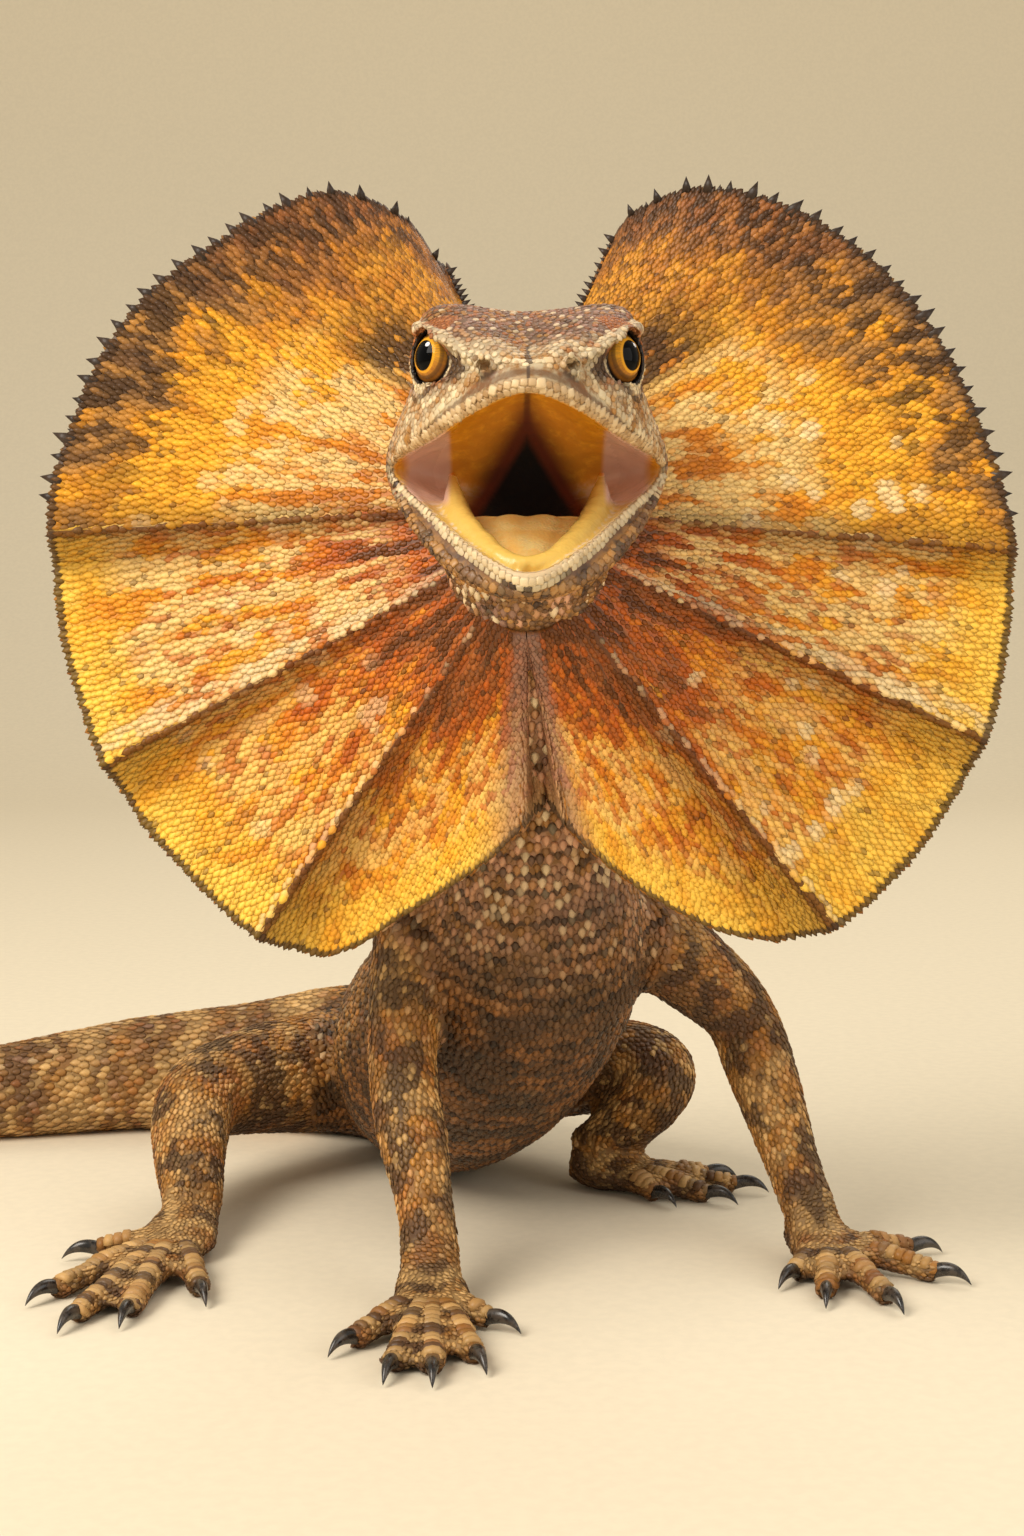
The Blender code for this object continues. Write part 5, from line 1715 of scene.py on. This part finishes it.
def frill_colour(p):
    """The markings of the frill: an upper, a middle and a low panel, and its brown back, with painted shade
    and highlights along the pleats' ridges and painted shade by the head.
    """
    _, angle, share, side = p.stored("frill_place")
    _, panel, phase, rim_gap = p.stored("frill_panel")
    root, _, _, _ = p.stored("root")
    fleck = p.stored_number("fleck")
    degrees = p.times(angle, 180)
    blotch = streaks(p, angle, share, side, 38, 5)
    dash = streaks(p, angle, share, side, 100, 9)
    tick = streaks(p, angle, share, side, 180, 15)
    broad = p.noise(root, 30, 2, 0.5)
    reach = p.plus(share, p.times(p.minus(broad, 0.5), 0.34))
    reach = p.plus(reach, p.times(p.minus(dash, 0.5), 0.22))
    butter = p.blend(0.5, "cream", "yellow")
    patchy = p.plus(reach, p.times(p.minus(blotch, 0.5), 1.1))
    higher = p.minus(patchy, p.ramp(degrees, 52, 86, 0, 0.22))
    upper = p.steps(higher, [(0, (0.6, 0.19, 0.018)), (0.14, "orange"), (0.36, "golden"),
                             (0.56, "golden"), (0.7, "amber"), (0.82, "ochre"), (1, "brown")])
    # Painted shade: the upper lobe darker towards the head, in rust and then dark dashes.
    dim = p.ramp(degrees, 62, 38)
    upper = p.laid(upper, "rust", 0.5, dim)
    upper = p.laid(upper, "umber", 0.6, dim, p.ramp(tick, 0.48, 0.58))
    clouds = p.ramp(p.plus(blotch, p.times(tick, 0.35)), 0.6, 0.72)
    pale = p.times(clouds, p.within(share, 0.16, 0.5, 0.14), p.ramp(degrees, 44, 60))
    upper = p.laid(upper, butter, 0.9, pale)
    edge = p.times(p.ramp(dash, 0.46, 0.58), p.ramp(share, 0.62, 0.88), p.ramp(degrees, 94, 76))
    upper = p.laid(upper, "umber", 0.85, edge)
    upper = p.laid(upper, "orange", 0.5, p.ramp(tick, 0.55, 0.64), p.ramp(share, 0.85, 0.6))
    # Painted shadow: a dark band where the upper lobe passes behind the head, broken by dashes.
    shadow_behind_head = p.times(p.within(degrees, 39, 49, 5), p.ramp(share, 0.62, 0.36),
                          p.ramp(dash, 0.36, 0.46))
    upper = p.laid(upper, "umber", 0.9, shadow_behind_head)
    middle = p.steps(patchy, [(0.06, "sienna"), (0.16, "deep_orange"), (0.36, "orange"),
                              (0.52, "golden"), (0.6, "orange"), (0.74, "golden"), (0.95, "yellow")])
    pale = p.times(clouds, p.within(share, 0.22, 0.8, 0.12))
    middle = p.laid(middle, butter, 0.85, pale)
    low = p.steps(patchy, [(0.08, "sienna"), (0.18, "rust"), (0.28, "deep_orange"), (0.4, "orange"),
                           (0.54, "golden"), (0.64, "orange"), (0.76, "golden"), (1, "yellow")])
    pale = p.times(clouds, p.within(share, 0.45, 0.75, 0.1))
    low = p.laid(low, butter, 0.45, pale)
    past_upper = p.ramp(panel, 0.5, 0.52)
    past_middle = p.ramp(panel, 1.5, 1.52)
    tone = p.blend(past_middle, p.blend(past_upper, upper, middle), low)
    tone = p.laid(tone, "deep_orange", 0.75, p.ramp(dash, 0.53, 0.6), past_upper, p.ramp(share, 1, 0.7))
    spots = p.ramp(p.cells(root, 104), 0.34, 0.24)
    spotted = p.times(spots, p.within(degrees, 68, 142, 6), p.within(share, 0.34, 0.78, 0.08),
                      p.ramp(broad, 0.4, 0.46), p.ramp(side, 0, 1, 0.5, 0.9))
    tone = p.laid(tone, (0.92, 0.69, 0.36), 0.85, spotted)
    tone = p.laid(tone, "sienna", 0.7, p.ramp(tick, 0.54, 0.62), past_middle, p.ramp(share, 0.55, 0.25))
    # Painted shade: each lower panel darker just below its ridge, and the upper lobe just above the first
    # ridge.
    tone = p.laid(tone, "sienna", 0.55, p.ramp(phase, 0.3, 0.02), past_upper)
    tone = p.laid(tone, "umber", 0.5, p.ramp(phase, 0.93, 1), p.ramp(panel, 0.5, 0.48))
    # Painted highlights: pale lines just above the second and the third ridge.
    tone = p.laid(tone, "cream", 0.55, p.within(phase, 0.9, 0.985, 0.05),
                  p.within(panel, 0.8, 1.2, 0.1), p.ramp(dash, 0.62, 0.45))
    tone = p.laid(tone, "cream", 0.4, p.within(phase, 0.975, 0.99, 0.01),
                  p.within(panel, 1.8, 2.2, 0.1))
    # Painted shade: a dark line just below each ridge.
    tone = p.laid(tone, "sienna", 0.85, p.ramp(phase, 0.035, 0.012), past_upper)
    tone = p.laid(tone, "mauve", 0.75, p.ramp(degrees, 168, 175))
    tone = p.laid(tone, "umber", 0.85, p.ramp(rim_gap, 1.8, 0.9))
    tone = p.laid(tone, "brown", 0.5, p.ramp(fleck, 0.05, 0.04))
    behind = p.blend(p.ramp(broad, 0.35, 0.65), "umber", "brown")
    behind = p.blend(p.ramp(dash, 0.5, 0.65), behind, "ochre")
    behind = p.laid(behind, "orange", 0.35, p.ramp(degrees, 80, 110))
    tone = p.blend(p.stored_number("front"), behind, tone)
    return p.varied(tone, fleck, 0.14)


def skin_height(p, root):
    """The height of a skin's fine grain and creases."""
    return p.plus(p.times(p.cells(root, 900), 0.6), p.noise(root, 420, 4, 0.6))


def grained(p, scale, low, high, strength, depth):
    """A fine grain in the sheen and the surface of scales."""
    grain = p.noise(p.place(), scale, 3, 0.6)
    p.set(Roughness=p.ramp(grain, 0.3, 0.7, low, high), Normal=p.bump(grain, strength, depth))


def body_skin(p):
    p.set(Base_Color=p.laid(body_colour(p), "umber", 0.45),
          Normal=p.bump(skin_height(p, p.stored("root")[0]), 0.5, 0.0004))


def body_scales(p):
    p.set(Base_Color=body_colour(p))
    grained(p, 1800, 0.38, 0.6, 0.35, 0.00015)


def head_skin(p):
    base, ring, turn, gap, side, fine = head_colour(p)
    base = p.laid(base, "umber", 0.3, p.ramp(ring, 9.2, 8.6))
    roof = p.blend(p.ramp(fine, 0.45, 0.75), "amber", "golden")
    floor = p.blend(p.ramp(fine, 0.4, 0.6), "gum", "cream")
    lining = p.blend(p.ramp(turn, 2.9, 3.5), roof, floor)
    lining = p.laid(lining, "gum", 1, p.ramp(gap, 0.5, 1), p.ramp(turn, 2.6, 3.2))
    up = p.minus(p.times(p.stored("root")[3], 1000), HEAD_CENTRE[2])
    web = p.times(p.ramp(side, 17.3, 18.8), p.ramp(side, 29.5, 27), p.ramp(up, -11, -8))
    lining = p.laid(lining, "web", 0.85, web)
    lining = p.laid(lining, "umber", 0.6, p.ramp(side, 1.1, 0.3), p.ramp(turn, 1.5, 1))
    peak = p.plus(up, p.times(side, 1.6))
    # Deep red towards the throat, then a painted shadow, near black, over the throat's opening.
    red = p.times(p.ramp(ring, 12, 13.2), p.ramp(peak, 21, 9))
    deep = p.blend(red, lining, (0.12, 0.022, 0.006))
    throat_shadow = p.times(p.ramp(ring, 12.8, 13.8), p.ramp(peak, 8.5, 4))
    deep = p.blend(throat_shadow, deep, (0.004, 0.002, 0.002))
    wet = p.ramp(ring, 9.7, 10.6, 0.52, 0.26)
    p.set(Base_Color=p.blend(p.ramp(ring, 9.7, 10.4), base, deep),
          Roughness=p.plus(wet, p.ramp(ring, 13, 14.8, 0, 0.7)),
          Normal=p.bump(skin_height(p, p.stored("root")[0]), 0.4, 0.0003),
          Subsurface_Weight=0.06, Subsurface_Radius=(0.004, 0.0016, 0.0008))


def head_scales(p):
    p.set(Base_Color=head_colour(p)[0])
    grained(p, 2400, 0.34, 0.55, 0.3, 0.00012)


def membrane(p):
    p.set(Base_Color=p.laid(frill_colour(p), "umber", 0.12),
          Normal=p.bump(skin_height(p, p.place()), 0.5, 0.0003),
          Subsurface_Weight=0.1, Subsurface_Radius=(0.003, 0.0014, 0.0006))


def frill_scales(p):
    p.set(Base_Color=frill_colour(p))
    grained(p, 2000, 0.34, 0.55, 0.3, 0.00012)


def frill_spines(p):
    _, angle, _, _ = p.stored("frill_place")
    tone = p.blend(p.ramp(angle, 0.49, 0.56), "umber", "brown")
    tone = p.laid(tone, (0.01, 0.008, 0.006), 0.5)
    p.set(Base_Color=p.varied(tone, p.stored_number("fleck"), 0.3),
          Normal=p.bump(p.noise(p.place(), 1500), 0.3, 0.0002))


def eyeball(p):
    place, x, y, _ = p.stored("eye_place")
    narrow = p.times(x, 1.14)
    flat = p.maths("SQRT", p.plus(p.times(narrow, narrow), p.times(y, y)))
    reach = p.maths("SQRT", p.plus(p.times(x, x), p.times(y, y)))
    spoke = p.together(p.times(p.maths("ARCTAN2", y, x), 5), p.times(reach, 2))
    gold = p.blend(p.ramp(p.noise(spoke, 2.4, 4, 0.6), 0.35, 0.65), "iris", "golden")
    gold = p.laid(gold, "rust", 0.6, p.ramp(y, 0.1, -0.4))
    gold = p.laid(gold, "sienna", 0.7, p.ramp(reach, 0.56, 0.7))
    iris = p.laid(gold, "umber", 0.6, p.within(reach, 0.6, 0.66, 0.04))
    iris = p.laid(iris, "golden", 0.85, p.within(flat, 0.46, 0.5, 0.03))
    iris = p.blend(p.ramp(reach, 0.72, 0.78), iris, (0.012, 0.008, 0.006))
    tone = p.blend(p.ramp(flat, 0.43, 0.455, 1, 0), iris, (0.001, 0.001, 0.001))
    # A painted glint: a small pale spot at a fixed place on each eye, standing in for a reflection of the
    # light.
    painted_glint = p.ramp(p.distance(place, (0.16, 0.3, 0.94)), 0.085, 0.065)
    p.set(Base_Color=p.blend(painted_glint, tone, (0.9, 0.9, 0.9)))


def tongue_flesh(p):
    place = p.place()
    broad = p.noise(place, 160, 3)
    p.set(Base_Color=p.blend(p.ramp(broad, 0.35, 0.65), (0.78, 0.58, 0.22), (0.74, 0.45, 0.12)),
          Roughness=p.ramp(broad, 0.3, 0.7, 0.22, 0.4),
          Normal=p.bump(p.cells(place, 1500), 0.35, 0.0002),
          Subsurface_Weight=0.2, Subsurface_Radius=(0.004, 0.002, 0.001))


def claw_sheath(p):
    grain = p.noise(p.place(), 500, 4)
    p.set(Base_Color=p.blend(p.ramp(grain, 0.35, 0.7), (0.012, 0.01, 0.009), (0.07, 0.052, 0.038)),
          Roughness=p.ramp(grain, 0.3, 0.7, 0.18, 0.36), Normal=p.bump(grain, 0.15, 0.0002))


def studio_floor(p):
    paper = p.noise(p.place(), 260, 3)
    tone = tuple(bpy.context.scene.lizard_stage.floor_colour)
    p.set(Base_Color=p.blend(p.ramp(paper, 0.3, 0.7), tone, tuple(c * 0.96 for c in tone)),
          Normal=p.bump(paper, 0.05, 0.0002))


# Each finish: what paints it, its roughness and the strength of its sheen.
FINISHES = {
    "body_skin": (body_skin, 0.62, 0.35), "body_scales": (body_scales, 0.46, 0.42),
    "head_skin": (head_skin, 0.5, 0.45), "head_scales": (head_scales, 0.42, 0.45),
    "membrane": (membrane, 0.5, 0.4), "frill_scales": (frill_scales, 0.42, 0.28),
    "frill_spines": (frill_spines, 0.45, 0.4), "eyeball": (eyeball, 0.03, 0.1),
    "tongue_flesh": (tongue_flesh, 0.3, 0.5), "claw_sheath": (claw_sheath, 0.25, 0.6),
    "studio_floor": (studio_floor, 0.75, 0.2),
}


def finish(name):
    """The finish of this name, made the first time it is asked for."""
    if name not in bpy.data.materials:
        paint, roughness, sheen = FINISHES[name]
        paint(Paint(name, Roughness=roughness, Specular_IOR_Level=sheen))
    return bpy.data.materials[name]


# Stage

class MakeStage(bpy.types.Operator):
    """Makes the floor that curves up into a backdrop, the soft lights and the camera"""
    bl_idname = "lizard.stage"
    bl_label = "Stage"

    def execute(self, context):
        stage = context.scene.lizard_stage
        bend = [(1200 + 900 * math.sin(a), 900 - 900 * math.cos(a))
                for a in np.linspace(0.1, math.pi / 2, 14)]
        profile = [(-2500, 0), (1200, 0), *bend, (2100, 3200)]
        points = [(x, y, z) for y, z in profile for x in (-3200, 3200)]
        faces = [(2 * i, 2 * i + 1, 2 * i + 3, 2 * i + 2) for i in range(len(profile) - 1)]
        floor = made("studio_floor", points, faces)
        if floor.data.polygons[0].normal.z < 0:
            floor.data.flip_normals()
        floor.data.shade_smooth()
        floor.data.materials.append(finish("studio_floor"))
        chest = (0.02, -0.12, 0.16)
        self.light("key_light", (-0.75, -0.85, 1.05), chest, 0.8, stage.key_power, (1.0, 0.94, 0.85))
        self.light("fill_light", (1.15, -0.80, 0.60), chest, 1.1, stage.fill_power, (1.0, 0.98, 0.95))
        self.light("back_light", (0.5, 0.9, 1.2), (0, 0, 0.12), 0.9, stage.fill_power,
                   (1.0, 0.97, 0.92))
        world = bpy.data.worlds.new("studio")
        world.use_nodes = True
        background = world.node_tree.nodes["Background"]
        background.inputs["Color"].default_value = (1.0, 0.94, 0.82, 1.0)
        background.inputs["Strength"].default_value = stage.sky
        context.scene.world = world
        lens = bpy.data.cameras.new("camera")
        lens.sensor_fit = "VERTICAL"
        lens.sensor_height = 36
        lens.lens = CAMERA_LENS
        lens.clip_start = 0.01
        camera = linked("camera", lens)
        camera.location = CAMERA_PLACE
        camera.rotation_euler = (math.pi / 2 - CAMERA_PITCH, 0, 0)
        context.scene.camera = camera
        context.scene.view_settings.view_transform = "Standard"
        return {"FINISHED"}

    def light(self, name, place, target, width, power, tint):
        lamp = bpy.data.lights.new(name, "AREA")
        lamp.shape = "SQUARE"
        lamp.size = width
        lamp.energy = power
        lamp.color = tint
        obj = linked(name, lamp)
        obj.location = place
        obj.rotation_euler = (Vector(target) - Vector(place)).to_track_quat("-Z", "Y").to_euler()


# Panel and run

OPERATORS = [MakeStage, MakeBodySkin, MakeHeadSkin, MakeFrill, MakeEyes, MakeTongue, MakeClaws,
             MakeBodyScales, MakeHeadScales, MakeFrillScales, MakeRimSpines]
GROUPS = [("lizard_sizes", LizardSizes), ("lizard_scales", LizardScales),
          ("lizard_colours", LizardColours), ("lizard_stage", LizardStage)]


class LizardPanel(bpy.types.Panel):
    """The lizard's sizes, colours and pieces"""
    bl_idname = "VIEW3D_PT_lizard"
    bl_label = "Frilled lizard"
    bl_space_type = "VIEW_3D"
    bl_region_type = "UI"
    bl_category = "Lizard"

    def draw(self, context):
        for name, group in GROUPS:
            box = self.layout.box()
            for key in group.__annotations__:
                box.prop(getattr(context.scene, name), key)
        for operator in OPERATORS:
            self.layout.operator(operator.bl_idname)


def register():
    for name, group in GROUPS:
        bpy.utils.register_class(group)
        setattr(bpy.types.Scene, name, PointerProperty(type=group))
    for kind in [*OPERATORS, LizardPanel]:
        bpy.utils.register_class(kind)


def unregister():
    for kind in [LizardPanel, *reversed(OPERATORS)]:
        bpy.utils.unregister_class(kind)
    for name, group in reversed(GROUPS):
        delattr(bpy.types.Scene, name)
        bpy.utils.unregister_class(group)


def main():
    register()
    for operator in OPERATORS:
        group, name = operator.bl_idname.split(".")
        getattr(getattr(bpy.ops, group), name)()
    for name in SHAPES:
        bpy.data.objects.remove(bpy.data.objects[name])


if __name__ == "__main__":
    main()
